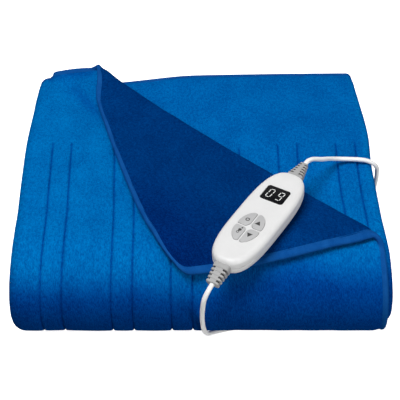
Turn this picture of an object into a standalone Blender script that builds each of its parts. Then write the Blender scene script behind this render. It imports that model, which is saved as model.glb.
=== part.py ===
"""An electric heated blanket, folded, with its hand controller, its two leads and its plug.

Metres, +Z up. The origin is on the floor under the middle of the whole thing without its leads,
and the front of the stack faces -Y. Places in this script are measured from the middle of the
folded stack, and CENTRE_SHIFT moves them all. The blanket is two plush sheets sewn back to back
with a bound edge. It is folded in three across its width, then in four along its length. The back
right corner of the top ply is turned back over the stack, and the controller lies on it.

A place on the flat blanket is (across, down): across its width from the free edge of the inner
flap, and down its length from the bound end that lies on top. The three-fold gives a place in the
packet of three plies (x, down, rise), and the four-fold sweeps that packet along the stack.
"""

import math
from collections import namedtuple

import bmesh
import bpy
import numpy as np
from mathutils import Matrix, Vector

OBJECT_NAME = "heated_blanket"
CENTRE_SHIFT = (-0.0038, 0.0045, 0.0)

# The plies.
PLUSH = 0.0037  # one plush sheet
SHEET_GAP = 0.0003  # between the two sheets
EDGE_GAP = 0.0009  # from the sheets to the binding
PLY = 2 * PLUSH + SHEET_GAP
PLY_PITCH = 0.010
PACKET = 2 * PLY_PITCH + PLY
PACKET_PITCH = 3 * PLY_PITCH + 0.0004
STACK_HEIGHT = 3 * PACKET_PITCH + PACKET

# The folded stack.
LEFT_FOLD_X = -0.1925  # centres of the two folds across the width
RIGHT_FOLD_X = 0.1935
INNER_FLAP_X = -0.1905  # where the inner flap's free edge lies
OUTER_FLAP_X = 0.196  # where the outer flap's bound edge lies
BACK_Y = 0.200  # the bound end on top
FRONT_FOLD_Y = -0.1255
BACK_FOLD_Y = 0.1608
INNER_END_Y = 0.186  # the other bound end

# The edge.
BINDING_WIDTH = 0.0068
BINDING_THICKNESS = 0.0062
BINDING_RIM = 0.7  # its thickness at the very edge, as a share
CORNER_RADIUS = 0.026

# The wire channels, each between two lines of stitching.
INNER_CHANNELS_X = (0.0260, 0.0935, 0.1610)  # on the inner flap
OUTER_CHANNELS_X = (-0.1720, -0.0975, -0.0340)  # on the outer flap
CHANNEL_WIDTH = 0.0225
CHANNEL_SHOULDER = 0.021  # from a channel to where the sheet is full again
CHANNEL_END = 0.160  # from the bound ends
STITCHED = 0.55  # the sheet's thickness under a stitched line, as a share

# The corner that is turned back: the fold's line is where ACROSS * x - DOWN * down = START.
TURN_ACROSS = 0.7201
TURN_DOWN = 0.6939
TURN_START = -0.0976
TURN_LENGTH = 0.344  # down the ply, from the bound end to where the fold meets the side
TURN_BEND = 0.008  # how far the fold's line bends towards the middle of the stack
BEND_WIDTH = 0.07  # the width that this bend moves
ROLL = 0.0052  # radius of the ply's middle at the fold
ROLL_OPEN = 0.001  # more at the back end
TURN_REACH = 0.840  # how far the corner comes over, as a share
TURN_SLIDE = 0.519  # and how far it slides along the fold
TURN_DEPTH = 0.210  # from the fold to the corner
TURN_SETTLE = 0.06  # beyond the fold, where the corner lies down
TURN_DROOP = 0.50  # how far it follows the stack's round front, as a share
DROOP_FROM = 0.05
BOW_LEFT = 0.014  # how far its left edge bows out
BOW_BASE = 0.8  # its share of that beside the fold
BOW_END = 8  # how sharply the bow ends at the corner
BOW_FROM = 0.04
BOW_FRONT = 0.004  # how far its front edge bows out
BACK_LIFT = 0.0155  # rise of the ply's bound end beside the roll
BACK_DRAW = 0.008  # how far the roll's back end is drawn to the left
BACK_REACH = 0.035  # forward from the bound end
BACK_SPREAD = (0.050, 0.055)  # to either side of the fold
BACK_FADE = 0.012  # from the left fold

# Further lines of the cloth's mesh.
ACROSS_EXTRA = 0.12
DOWN_EXTRA = (0.09, 0.25)

# How the stack lies.
BULGE = 0.024  # wider at the front of the lower plies, as a share
BULGE_TOP = 1.12  # how much of it the top lacks
BULGE_Y = (0.05, 0.20)  # where it starts, and the length over which it grows
FRONT_SHIFT = 0.0057
FRONT_SPREAD = 0.005  # forward, at the bottom
SPREAD_Y = (-0.05, 0.10)
FRONT_SAG = 0.002
SAG_Y = (-0.045, 0.10)
SWELL = (0.011, 0.034)  # of the left and the right side towards the back, as shares
SWELL_Y = (0.08, 0.085)  # its middle and its reach
BACK_SKEW = 0.03
SKEW_Y = (0.05, 0.15)
SLIP = 0.0034  # sideways, of every other layer
SLIP_PERIOD = 0.62
PUFF = 0.0095  # rise of the plies that the turned corner uncovers
PUFF_FROM = 0.006
PUFF_OVER = 0.09
WAVE = 0.0012  # unevenness of the top
WAVE_X = (14, 0.6)
WAVE_Y = (11, 0.4)
LEAD_GROOVE = 0.0062  # rise of the underside over the lead
LEAD_GROOVE_Y = -0.147
GROOVE_SIZE = (0.014, 0.022)  # its half width and its height
GROOVE_X = (-0.03, 0.03)

# The controller, in its own frame: X across, Y towards the display, Z out of its face.
HOUSING_LENGTH = 0.152
HOUSING_WIDTH = 0.0535
HOUSING_HEIGHT = 0.021
PARTING_HEIGHT = 0.0105
GAP = 0.0003
CONTROLLER_PLACE = (0.0668, -0.1280, 0.1284)
CONTROLLER_HEADING = 32.3  # degrees from +Y towards +X
CONTROLLER_NOSE_DOWN = 6.0
DISPLAY_SIZE = (0.0275, 0.0226, 0.0012)
DISPLAY_CORNER = 0.003
DISPLAY_Y = 0.0347
CUTTER_TOP = 0.004  # above the face
BUTTON_ELLIPSE = (0.0136, 0.0218)
BUTTON_CROSS = 0.0010  # half the gap between buttons
BUTTON_Y = -0.0225
BUTTON_STANDS = 0.0008  # above the face
BUTTON_SEAT = 0.0022  # below it
PETAL_CUT = (0.0030, 0.0042)  # its inner corner cut off, along either side
PETAL_ARC = (78, 12)  # degrees
PETAL_ENDS = (0.975, 0.985)
POCKET_DEPTH = 0.0034
RELIEF_STUB = 0.005
STUB_SHARE = 0.86  # of the neck's width and height
STUB_STEP = 0.0012
RELIEF_SEAT = 0.003  # how deep its neck sits in the housing
NECK_SHARE = 0.28  # of its length
GROOVE_SHARE = (0.80, 0.72)  # of the rib's width and height
RIB_STEPS = (0.08, 0.42, 0.50)  # where a groove starts and ends and a rib starts, of a pitch

Relief = namedtuple("Relief", "end length base tip ribs droop")

MAINS_RELIEF = Relief(1, 0.028, (0.0185, 0.0115), (0.0092, 0.0080), 5, 3)
BLANKET_RELIEF = Relief(-1, 0.0245, (0.0185, 0.0125), (0.0145, 0.0092), 4, -16)
BAR_SIDES = 8

# The leads.
LEAD = 0.0052
LEAD_SPACING = 2.5 * LEAD
LEAD_START = 0.006  # how far a lead leaves straight
MAINS_RUN = (
    (0.1434, -0.0194, 0.1410),
    (0.1552, -0.0050, 0.1312),
    (0.1666, 0.0026, 0.1254),
    (0.1790, 0.0048, 0.1234),
    (0.1905, 0.0038, 0.1234),
    (0.1990, 0.0030, 0.1222),
    (0.2066, 0.0034, 0.1176),
    (0.2112, 0.0058, 0.1104),
    (0.2128, 0.0105, 0.1010),
    (0.2148, 0.0210, 0.0790),
    (0.2145, 0.0300, 0.0550),
    (0.2150, 0.0390, 0.0330),
    (0.2155, 0.0510, 0.0150),
    (0.2155, 0.0700, 0.0040),
    (0.2155, 0.0920, 0.0030),
    (0.2150, 0.1300, 0.0030),
    (0.2105, 0.1650, 0.0030),
    (0.1975, 0.1935, 0.0030),
    (0.1730, 0.2140, 0.0050),
)
MAINS_END_Y = 0.233
TAIL_Y = 0.2385
TAIL_START = 0.008
TAIL_RUN = ((0.044, 0.2300, 0.0085), (0.026, 0.2235, 0.0090))
BLANKET_RUN = (
    (0.0075, -0.2185, 0.1110),
    (0.0055, -0.2175, 0.0960),
    (0.0050, -0.2075, 0.0760),
    (0.0053, -0.1965, 0.0560),
    (0.0062, -0.1883, 0.0400),
    (0.0080, -0.1820, 0.0270),
    (0.0115, -0.1745, 0.0162),
    (0.0180, -0.1645, 0.0084),
    (0.0290, -0.1565, 0.0040),
    (0.0450, -0.1520, 0.0032),
    (0.1000, -0.1505, 0.0031),
    (0.1600, -0.1505, 0.0031),
    (0.1860, -0.1515, 0.0031),
    (0.2030, -0.1480, 0.0031),
    (0.2135, -0.1370, 0.0034),
)
BLANKET_END = (-0.112, 0.0036)
COIL_RADIUS = 0.030
COIL_THICKNESS = 0.0176
COIL_CENTRE = (0.105, 0.2385, COIL_THICKNESS / 2)
PLUG_BODY = (0.036, 0.025, 0.018)
PLUG_CENTRE = (-0.020, 0.222, PLUG_BODY[2] / 2)
BLADE = (0.016, 0.0016, 0.0063)
BLADE_APART = 0.0127
CONNECTOR = (0.0200, 0.040, 0.0078)
CONNECTOR_Y = -0.070
CONNECTOR_CLEAR = 0.0014  # from the bound edge

Leg = namedtuple("Leg", "length radius")  # a straight has no radius, + turns left, - turns right

SIDE_RADIUS = PLY_PITCH / 2
INNER_RADIUS = PACKET_PITCH / 2
OUTER_RADIUS = 3 * INNER_RADIUS

THREE_FOLD = (
    Leg(RIGHT_FOLD_X - INNER_FLAP_X, 0),
    Leg(math.pi * SIDE_RADIUS, -SIDE_RADIUS),
    Leg(RIGHT_FOLD_X - LEFT_FOLD_X, 0),
    Leg(math.pi * PLY_PITCH, -PLY_PITCH),
    Leg(OUTER_FLAP_X - LEFT_FOLD_X, 0),
)
FOUR_FOLD = (
    Leg(BACK_Y - FRONT_FOLD_Y, 0),
    Leg(math.pi * OUTER_RADIUS, OUTER_RADIUS),
    Leg(BACK_FOLD_Y - FRONT_FOLD_Y, 0),
    Leg(math.pi * INNER_RADIUS, INNER_RADIUS),
    Leg(BACK_FOLD_Y - FRONT_FOLD_Y, 0),
    Leg(math.pi * INNER_RADIUS, -INNER_RADIUS),
    Leg(INNER_END_Y - FRONT_FOLD_Y, 0),
)
WIDTH = sum(leg.length for leg in THREE_FOLD)
LENGTH = sum(leg.length for leg in FOUR_FOLD)
TOP_PACKET_Z = STACK_HEIGHT - PACKET / 2


def new_material(name, colour, roughness, metallic=0.0):
    material = bpy.data.materials.new(name)
    material.use_nodes = True
    shader = material.node_tree.nodes["Principled BSDF"]
    shader.inputs["Base Color"].default_value = (*colour, 1)
    shader.inputs["Roughness"].default_value = roughness
    shader.inputs["Metallic"].default_value = metallic
    material.diffuse_color = (*colour, 1)
    return material


def new_object(name, data, collection, material=None):
    obj = bpy.data.objects.new(name, data)
    collection.objects.link(obj)
    if material:
        data.materials.append(material)
    return obj


def mesh_from(bm, name):
    mesh = bpy.data.meshes.new(name)
    bm.to_mesh(mesh)
    bm.free()
    return mesh


def ease(value):
    """0 below 0, 1 above 1, and smooth between."""
    value = min(max(value, 0.0), 1.0)
    return value * value * (3 - 2 * value)


# --- the folded cloth ---------------------------------------------------------------------------


def along(legs, start, angle, distance):
    """The point that far along the legs, and the heading there."""
    x, y = start
    for leg in legs:
        step = min(distance, leg.length)
        if leg.radius:
            turn = step / leg.radius
            x += leg.radius * (math.sin(angle + turn) - math.sin(angle))
            y += leg.radius * (math.cos(angle) - math.cos(angle + turn))
            angle += turn
        else:
            x += step * math.cos(angle)
            y += step * math.sin(angle)
        distance -= step
        if distance <= 0:
            break
    return x, y, angle


def rounded(across, down):
    """The flat place after the blanket's four corners are rounded."""
    near_x = min(across, WIDTH - across)
    near_y = min(down, LENGTH - down)
    if near_x < CORNER_RADIUS and near_y < CORNER_RADIUS:
        from_x = CORNER_RADIUS - near_x
        from_y = CORNER_RADIUS - near_y
        share = max(from_x, from_y) / math.hypot(from_x, from_y)
        shift_x = from_x * (1 - share)
        shift_y = from_y * (1 - share)
        across += shift_x if across < WIDTH / 2 else -shift_x
        down += shift_y if down < LENGTH / 2 else -shift_y
    return across, down


def beyond_turn(x, down):
    """How far a place on the top ply lies beyond the line of the turned corner."""
    return TURN_ACROSS * x - TURN_DOWN * down - TURN_START


def turned(x, down, rise, lift):
    """A place on the outer flap after its corner is rolled over the fold and laid on the stack.

    Also how far the place lies past the roll.
    """
    beyond = beyond_turn(x, down)
    at_back = math.exp(-down / BACK_REACH)
    beside = math.exp(-((beyond / BACK_SPREAD[beyond > 0]) ** 2))
    raised = at_back * beside * ease((x - LEFT_FOLD_X) / BACK_FADE)
    rise += BACK_LIFT * raised
    beyond = max(beyond, 0.0)
    radius = ROLL + ROLL_OPEN * at_back
    turn = min(beyond / radius, math.pi)
    laid = max(beyond - math.pi * radius, 0.0)
    part = min(laid / TURN_DEPTH, 1.0)
    free_side = OUTER_FLAP_X - x
    left = free_side / max(free_side + down, 1e-6)
    over = (radius - lift) * math.sin(turn) - beyond - TURN_REACH * laid
    slide = TURN_SLIDE * laid
    x += TURN_ACROSS * over + TURN_DOWN * slide
    down += TURN_ACROSS * slide - TURN_DOWN * over
    bow = BOW_LEFT * (BOW_BASE + part) * left * (1 - part**BOW_END)
    x -= bow * ease(laid / BOW_FROM) + BACK_DRAW * raised
    down += BOW_FRONT * 4 * part * (1 - part) * (1 - left)
    rise += radius - (radius - lift) * math.cos(turn)
    rise -= 2 * (radius - ROLL) * ease(laid / TURN_SETTLE)
    bend = TURN_BEND * math.sin(math.pi * min(down / TURN_LENGTH, 1.0))
    bend *= math.exp(-((beyond_turn(x, down) / BEND_WIDTH) ** 2))
    return x - TURN_ACROSS * bend, down + TURN_DOWN * bend, rise, laid


def from_line(value, line):
    """0 on one side of a line, 1 far on its other side. line is (start, length)."""
    start, length = line
    return ease((value - start) / length)


def settled(x, y, z, down):
    """The swept place as the stack really lies: wider and lower in front, and slightly uneven."""
    height = z / STACK_HEIGHT
    front = ease((BULGE_Y[0] - y) / BULGE_Y[1])
    x = x * (1 + BULGE * front * (1 - BULGE_TOP * height**2)) + FRONT_SHIFT * front
    x *= 1 + SWELL[x > 0] * math.exp(-(((y - SWELL_Y[0]) / SWELL_Y[1]) ** 2))
    past_top = max(down - FOUR_FOLD[0].length, 0.0)
    x += SLIP * (1 - math.cos(2 * math.pi * past_top / SLIP_PERIOD)) / 2
    y += BACK_SKEW * x * from_line(y, SKEW_Y) * height
    y -= FRONT_SPREAD * ease((SPREAD_Y[0] - y) / SPREAD_Y[1]) * max(1 - height, 0.0) ** 2
    wave = WAVE * math.sin(WAVE_X[0] * x + WAVE_X[1]) * math.sin(WAVE_Y[0] * y + WAVE_Y[1])
    z += height**2 * (wave - FRONT_SAG * ease((SAG_Y[0] - y) / SAG_Y[1]))
    groove = math.exp(-(((y - LEAD_GROOVE_Y) / GROOVE_SIZE[0]) ** 2) - z / GROOVE_SIZE[1])
    z += LEAD_GROOVE * groove * from_line(x, GROOVE_X)
    return Vector((x, y, z))


def place(across, down, lift=0.0):
    """The place in the folded stack of a point on the flat blanket, lifted off its middle."""
    across, down = rounded(across, down)
    x, rise, angle = along(THREE_FOLD, (INNER_FLAP_X, 0), 0, across)
    top = down < FOUR_FOLD[0].length
    laid = 0.0
    if across > WIDTH - THREE_FOLD[-1].length:
        x, down, rise, laid = turned(x, down, rise, lift)
    else:
        uncovered = ease((beyond_turn(x, down) - PUFF_FROM) / PUFF_OVER) if top else 0.0
        rise += PUFF * uncovered * (1 + rise / PLY_PITCH) + lift * math.cos(angle)
        x -= lift * math.sin(angle)
    y, z, heading = along(FOUR_FOLD, (BACK_Y, TOP_PACKET_Z), math.pi, max(down, 0.0))
    y += rise * math.sin(heading) - min(down, 0.0)
    z -= rise * math.cos(heading)
    stiff = (1 - TURN_DROOP) * ease(laid / DROOP_FROM)
    y += (BACK_Y - down - y) * stiff
    z += (TOP_PACKET_Z + rise - z) * stiff
    return settled(x, y, z, down)


def bound_edge(y):
    """Where the outer flap's bound edge lies on the floor, that far along the stack."""
    return place(WIDTH, FOUR_FOLD[0].length + FOUR_FOLD[1].length + y - FRONT_FOLD_Y)


def steps(start, end, count):
    """That many even steps from start to end, without the start."""
    return [start + (end - start) * (k + 1) / count for k in range(count)]


def channel_starts():
    """The first stitched line of each channel, across the flat blanket, on each flap."""
    inner = [x - INNER_FLAP_X for x in INNER_CHANNELS_X]
    outer = [WIDTH - (OUTER_FLAP_X - x) for x in OUTER_CHANNELS_X]
    return inner, outer


def with_channels(lines, starts):
    """The lines, and those of the channels: a shoulder, the stitching and the middle."""
    for start in starts:
        if start - CHANNEL_SHOULDER > lines[-1]:
            lines.append(start - CHANNEL_SHOULDER)
        lines += [start, start + CHANNEL_WIDTH / 2, start + CHANNEL_WIDTH]
    return lines


def across_lines():
    """The flat blanket's lines across its width: its folds, its stitching and its edges."""
    right, under, left, outer_flap = np.cumsum([leg.length for leg in THREE_FOLD[:4]])
    inner, outer = channel_starts()
    lines = with_channels([CORNER_RADIUS, ACROSS_EXTRA], inner)
    lines += [right, *steps(right, under, 4), *steps(under, left, 2)]
    lines += steps(left, outer_flap, 6)
    lines = with_channels(lines, outer)
    return lines + steps(lines[-1], WIDTH - CORNER_RADIUS, 3)


def down_lines():
    """The flat blanket's lines down its length: its folds and where its channels end."""
    ends = np.cumsum([leg.length for leg in FOUR_FOLD])
    near, far = DOWN_EXTRA
    lines = [CORNER_RADIUS, near, CHANNEL_END, CHANNEL_END + CHANNEL_SHOULDER, far, ends[0]]
    for leg, count in ((1, 7), (2, 2), (3, 4), (4, 2), (5, 4)):
        lines += steps(ends[leg - 1], ends[leg], count)
    return lines + steps(ends[5], LENGTH - CORNER_RADIUS, 2)


def flat_grid(edge, extra):
    """The flat blanket as a grid with its lines and down as -Y, and its faces inside the edge.

    extra are the lines, as distances from each edge, that come before the corner's radius.
    """
    across = [*extra, *across_lines(), *[WIDTH - e for e in reversed(extra)]]
    down = [*extra, *down_lines(), *[LENGTH - e for e in reversed(extra)]]
    bm = bmesh.new()
    cells = (len(across) - 1, len(down) - 1)
    bmesh.ops.create_grid(bm, x_segments=cells[0], y_segments=cells[1], size=0.5)
    for vert in bm.verts:
        column = round((vert.co.x + 0.5) * cells[0])
        row = round((0.5 - vert.co.y) * cells[1])
        vert.co = (across[column], -down[row], 0)
    inside = [
        face
        for face in bm.faces
        if edge < face.calc_center_median().x < WIDTH - edge
        and edge < -face.calc_center_median().y < LENGTH - edge
    ]
    return bm, inside


def cut_turned_corner(bm):
    """Cuts the grid along the rolled corner's fold."""
    flap_start = WIDTH - THREE_FOLD[-1].length
    slant = Vector((TURN_ACROSS, TURN_DOWN, 0))
    for beyond in np.linspace(0, 1.3 * math.pi * ROLL, 9):
        down = (TURN_ACROSS * OUTER_FLAP_X - TURN_START - beyond) / TURN_DOWN
        top = [f for f in bm.faces if f.calc_center_median().x > flap_start]
        top = [f for f in top if -f.calc_center_median().y < 0.45]
        bmesh.ops.bisect_plane(
            bm,
            geom=[*top, *{e for f in top for e in f.edges}, *{v for f in top for v in f.verts}],
            dist=0.0004,
            plane_co=(WIDTH, -down, 0),
            plane_no=slant,
        )


def is_stitched(across, down):
    on_line = any(
        min(abs(across - start), abs(across - start - CHANNEL_WIDTH)) < 1e-4
        for starts in channel_starts()
        for start in starts
    )
    return on_line and CHANNEL_END - 1e-4 < down < LENGTH - CHANNEL_END + 1e-4


def folded_cloth(name, bm, lifts, colour, roughness, collection):
    """Makes a slab of the flat grid and folds it up. lifts gives its two faces at a flat place."""
    bmesh.ops.triangulate(bm, faces=bm.faces[:])
    risen = bmesh.ops.extrude_face_region(bm, geom=bm.faces[:])["geom"]
    upper = {v for v in risen if isinstance(v, bmesh.types.BMVert)}
    bmesh.ops.translate(bm, verts=list(upper), vec=(0, 0, PLUSH))
    bmesh.ops.recalc_face_normals(bm, faces=bm.faces[:])
    for vert in bm.verts:
        across = vert.co.x
        down = -vert.co.y
        low, high = lifts(across, down)
        vert.co = place(across, down, high if vert in upper else low)
    material = new_material(name, colour, roughness)
    obj = new_object(name, mesh_from(bm, name), collection, material)
    obj.data.shade_smooth()
    return obj


def add_sheet(name, side, colour, collection):
    """One plush sheet: the face has side 1, the back has side -1."""
    bm, _ = flat_grid(0, (BINDING_WIDTH + EDGE_GAP,))
    cut_turned_corner(bm)

    def lifts(across, down):
        near = side * SHEET_GAP / 2
        far = near + side * PLUSH * (STITCHED if is_stitched(across, down) else 1)
        return min(near, far), max(near, far)

    folded_cloth(name, bm, lifts, colour, 0.95, collection)


def add_binding(collection):
    """The smooth tape that is folded over the whole edge and sewn through."""
    bm, inside = flat_grid(BINDING_WIDTH, (0, BINDING_WIDTH))
    bmesh.ops.delete(bm, geom=inside, context="FACES")
    cut_turned_corner(bm)

    def lifts(across, down):
        edge = min(across, WIDTH - across, down, LENGTH - down)
        half = BINDING_THICKNESS / 2 * (1 if edge > BINDING_WIDTH / 2 else BINDING_RIM)
        return -half, half

    folded_cloth("edge_binding", bm, lifts, (0.02, 0.10, 0.33), 0.6, collection)


# --- the controller -----------------------------------------------------------------------------


def oblong(angle, half_width, half_length):
    """A point of the housing's outline, whose sides are flatter than its ends."""
    cos = math.cos(angle)
    sin = math.sin(angle)
    x = half_width * math.copysign(abs(cos) ** (2 / 2.8), cos)
    y = half_length * math.copysign(abs(sin) ** (2 / 3.2), sin)
    return x, y


def housing_half(name, bottom, top, rounding, material, parent, collection):
    bm = bmesh.new()
    bmesh.ops.create_cone(
        bm, cap_ends=True, segments=36, radius1=1, radius2=1, depth=top - bottom
    )
    for vert in bm.verts:
        angle = math.atan2(vert.co.y, vert.co.x)
        x, y = oblong(angle, HOUSING_WIDTH / 2, HOUSING_LENGTH / 2)
        vert.co = (x, y, vert.co.z + (top + bottom) / 2)
    far_z = top if top == HOUSING_HEIGHT else bottom
    rim = [e for e in bm.edges if all(abs(v.co.z - far_z) < 1e-6 for v in e.verts)]
    bmesh.ops.bevel(bm, geom=rim, offset=rounding, segments=2, affect="EDGES", profile=0.5)
    obj = new_object(name, mesh_from(bm, name), collection, material)
    obj.data.shade_smooth()
    obj.parent = parent
    return obj


def cut(obj, cutter):
    boolean = obj.modifiers.new(cutter.name, "BOOLEAN")
    boolean.operation = "DIFFERENCE"
    boolean.object = cutter
    cutter.hide_render = True
    cutter.display_type = "WIRE"


def prism(name, outline, bottom, top, parent, collection, material=None):
    """An upright solid on a flat outline of points."""
    bm = bmesh.new()
    face = bm.faces.new([bm.verts.new((x, y, bottom)) for x, y in outline])
    risen = bmesh.ops.extrude_face_region(bm, geom=[face])["geom"]
    lifted = [v for v in risen if isinstance(v, bmesh.types.BMVert)]
    bmesh.ops.translate(bm, verts=lifted, vec=(0, 0, top - bottom))
    bmesh.ops.recalc_face_normals(bm, faces=bm.faces[:])
    obj = new_object(name, mesh_from(bm, name), collection, material)
    obj.parent = parent
    return obj


def rounded_box_outline(width, length, radius, centre_y):
    """A flat rectangle with round corners, as points."""
    points = []
    for corner, (side_x, side_y) in enumerate(((1, 1), (-1, 1), (-1, -1), (1, -1))):
        for k in range(4):
            angle = (corner + k / 3) * math.pi / 2
            x = side_x * (width / 2 - radius) + radius * math.cos(angle)
            y = side_y * (length / 2 - radius) + radius * math.sin(angle)
            points.append((x, y + centre_y))
    return points


def petal_outline(side_x, side_y, grow):
    """A quarter of the buttons' ellipse with its three corners rounded off."""
    half_x = BUTTON_ELLIPSE[0] + grow
    half_y = BUTTON_ELLIPSE[1] + grow
    inner = BUTTON_CROSS - grow
    points = [(inner + PETAL_CUT[0], inner), (inner, inner + PETAL_CUT[1])]
    angles = np.radians(np.linspace(*PETAL_ARC, 8))
    arc = [
        (half_x * math.cos(a) + BUTTON_CROSS, half_y * math.sin(a) + BUTTON_CROSS) for a in angles
    ]
    points += [(inner, arc[0][1] * PETAL_ENDS[0]), *arc, (arc[-1][0] * PETAL_ENDS[1], inner)]
    return [(side_x * x, side_y * y + BUTTON_Y) for x, y in points]


def ribbed_bar(name, rows, parent, collection, material=None):
    """A bar of rounded section that leaves its parent along +Y, lofted through its rows."""
    bm = bmesh.new()
    rings = []
    for distance, width, height in rows:
        ring = []
        for k in range(BAR_SIDES):
            angle = (k + 0.5) * 2 * math.pi / BAR_SIDES
            cos = math.cos(angle)
            sin = math.sin(angle)
            x = width / 2 * math.copysign(abs(cos) ** 0.5, cos)
            z = height / 2 * math.copysign(abs(sin) ** 0.5, sin)
            ring.append(bm.verts.new((x, distance, z)))
        rings.append(ring)
    for near, far in zip(rings, rings[1:]):
        for k in range(BAR_SIDES):
            after = (k + 1) % BAR_SIDES
            bm.faces.new((near[k], near[after], far[after], far[k]))
    bm.faces.new(rings[0])
    bm.faces.new(rings[-1])
    bmesh.ops.recalc_face_normals(bm, faces=bm.faces[:])
    obj = new_object(name, mesh_from(bm, name), collection, material)
    obj.parent = parent
    return obj


def relief_rows(relief):
    """Sections of a strain relief: a stub, a plain neck, then ribs between grooves."""
    width, height = relief.base
    neck = NECK_SHARE * relief.length
    stub = (STUB_SHARE * width, STUB_SHARE * height)
    rows = [(-RELIEF_STUB, *stub), (0.0, *stub), (STUB_STEP, width, height), (neck, width, height)]
    pitch = (relief.length - neck) / relief.ribs
    for k in range(relief.ribs):
        share = (k + 1) / relief.ribs
        wide = width + (relief.tip[0] - width) * share
        high = height + (relief.tip[1] - height) * share
        groove = (GROOVE_SHARE[0] * wide, GROOVE_SHARE[1] * high)
        start, end, rib = [neck + (k + step) * pitch for step in RIB_STEPS]
        rows += [(start, *groove), (end, *groove)]
        rows += [(rib, wide, high), (neck + (k + 1) * pitch, wide, high)]
    return rows


def add_relief(name, relief, halves, controller, parts, cutters):
    """A strain relief at one end of the housing, seated in a notch of both halves."""
    grey = new_material(name, (0.45, 0.45, 0.46), 0.5)
    ribbed = ribbed_bar(name, relief_rows(relief), controller, parts, grey)
    wide = [size + 2 * GAP for size in relief.base]
    narrow = [STUB_SHARE * size + 2 * GAP for size in relief.base]
    notch_rows = [(-RELIEF_STUB - GAP, *narrow), (-GAP, *narrow)]
    notch_rows += [(STUB_STEP - GAP, *wide), (relief.length, *wide)]
    notch = ribbed_bar(name + "_notch", notch_rows, controller, cutters)
    for obj in (ribbed, notch):
        obj.location = (0, relief.end * (HOUSING_LENGTH / 2 - RELIEF_SEAT), PARTING_HEIGHT)
        heading = 0 if relief.end > 0 else math.pi
        obj.rotation_euler = (math.radians(relief.droop), 0, heading)
    for half in halves:
        cut(half, notch)
    return ribbed


def add_controller(parts, cutters):
    """The hand controller on the turned corner. Returns its two strain reliefs."""
    controller = new_object("controller_place", None, parts)
    controller.location = CONTROLLER_PLACE
    nose = math.radians(CONTROLLER_NOSE_DOWN)
    heading = math.radians(-CONTROLLER_HEADING)
    controller.rotation_euler = (nose, 0, heading)
    white = new_material("controller_white", (0.86, 0.86, 0.86), 0.35)
    grey = new_material("button_grey", (0.50, 0.50, 0.51), 0.5)
    black = new_material("display_black", (0.01, 0.01, 0.012), 0.12)
    base = housing_half(
        "controller_base", 0, PARTING_HEIGHT - GAP / 2, 0.0055, white, controller, parts
    )
    cover = housing_half(
        "controller_cover", PARTING_HEIGHT + GAP / 2, HOUSING_HEIGHT, 0.0040, white,
        controller, parts,
    )
    width, length, thickness = DISPLAY_SIZE
    window = rounded_box_outline(width, length, DISPLAY_CORNER, DISPLAY_Y)
    face = HOUSING_HEIGHT
    above = face + CUTTER_TOP
    prism("display_window", window, face - thickness, face, controller, parts, black)
    opening = rounded_box_outline(
        width + 2 * GAP, length + 2 * GAP, DISPLAY_CORNER + GAP, DISPLAY_Y
    )
    pocket = prism("display_pocket", opening, face - thickness - GAP, above, controller, cutters)
    cut(cover, pocket)
    for name, side_x, side_y in (
        ("button_power", -1, 1),
        ("button_warmer", 1, 1),
        ("button_timer", -1, -1),
        ("button_cooler", 1, -1),
    ):
        outline = petal_outline(side_x, side_y, 0)
        prism(name, outline, face - BUTTON_SEAT, face + BUTTON_STANDS, controller, parts, grey)
        wider = petal_outline(side_x, side_y, GAP)
        pocket = prism(name + "_pocket", wider, face - POCKET_DEPTH, above, controller, cutters)
        cut(cover, pocket)
    halves = (base, cover)
    upper = add_relief("relief_mains", MAINS_RELIEF, halves, controller, parts, cutters)
    lower = add_relief("relief_blanket", BLANKET_RELIEF, halves, controller, parts, cutters)
    bpy.context.view_layer.update()
    return (upper, MAINS_RELIEF.length), (lower, BLANKET_RELIEF.length)


# --- the leads ----------------------------------------------------------------------------------


def smooth_route(points, spacing):
    """Even points along a smooth curve through the route's own points, never below the floor."""
    route = np.array([tuple(p) for p in points])
    step = np.diff(route, axis=0)
    chord = np.linalg.norm(step, axis=1)[:, None]
    slope = step / chord
    inner = (slope[:-1] * chord[1:] + slope[1:] * chord[:-1]) / (chord[:-1] + chord[1:])
    tangent = np.vstack([slope[:1], inner, slope[-1:]])
    fine = []
    for k, length in enumerate(chord[:, 0]):
        for t in np.arange(24) / 24:
            ends = route[k] * (1 + 2 * t) * (1 - t) ** 2 + route[k + 1] * t**2 * (3 - 2 * t)
            bend = tangent[k] * t * (1 - t) ** 2 - tangent[k + 1] * t**2 * (1 - t)
            fine.append(ends + length * bend)
    fine = np.array([*fine, route[-1]])
    fine[:, 2] = np.maximum(fine[:, 2], LEAD / 2 + GAP)
    run = np.concatenate([[0], np.cumsum(np.linalg.norm(np.diff(fine, axis=0), axis=1))])
    at = [0, *np.linspace(LEAD_START, run[-1], math.ceil(run[-1] / spacing))]
    return [[np.interp(t, run, fine[:, axis]) for axis in range(3)] for t in at]


def add_lead(name, route, material, collection):
    curve = bpy.data.curves.new(name, "CURVE")
    curve.dimensions = "3D"
    curve.bevel_depth = LEAD / 2
    curve.bevel_resolution = 2
    curve.use_fill_caps = True
    points = smooth_route(route, LEAD_SPACING)
    spline = curve.splines.new("POLY")
    spline.points.add(len(points) - 1)
    for point, co in zip(spline.points, points, strict=True):
        point.co = (*co, 1)
    return new_object(name, curve, collection, material)


def box(name, size, centre, rounding, material, collection):
    bm = bmesh.new()
    bmesh.ops.create_cube(bm, size=1, matrix=Matrix.Diagonal((*size, 1)))
    if rounding:
        bmesh.ops.bevel(
            bm, geom=bm.edges[:], offset=rounding, segments=2, affect="EDGES", profile=0.5
        )
    obj = new_object(name, mesh_from(bm, name), collection, material)
    obj.location = centre
    return obj


def tip_of(relief):
    """Where a lead leaves a strain relief, and the way it points."""
    obj, length = relief
    frame = obj.matrix_world
    start = frame @ Vector((0, length + GAP, 0))
    return start, (frame.to_3x3() @ Vector((0, 1, 0))).normalized()


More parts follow.
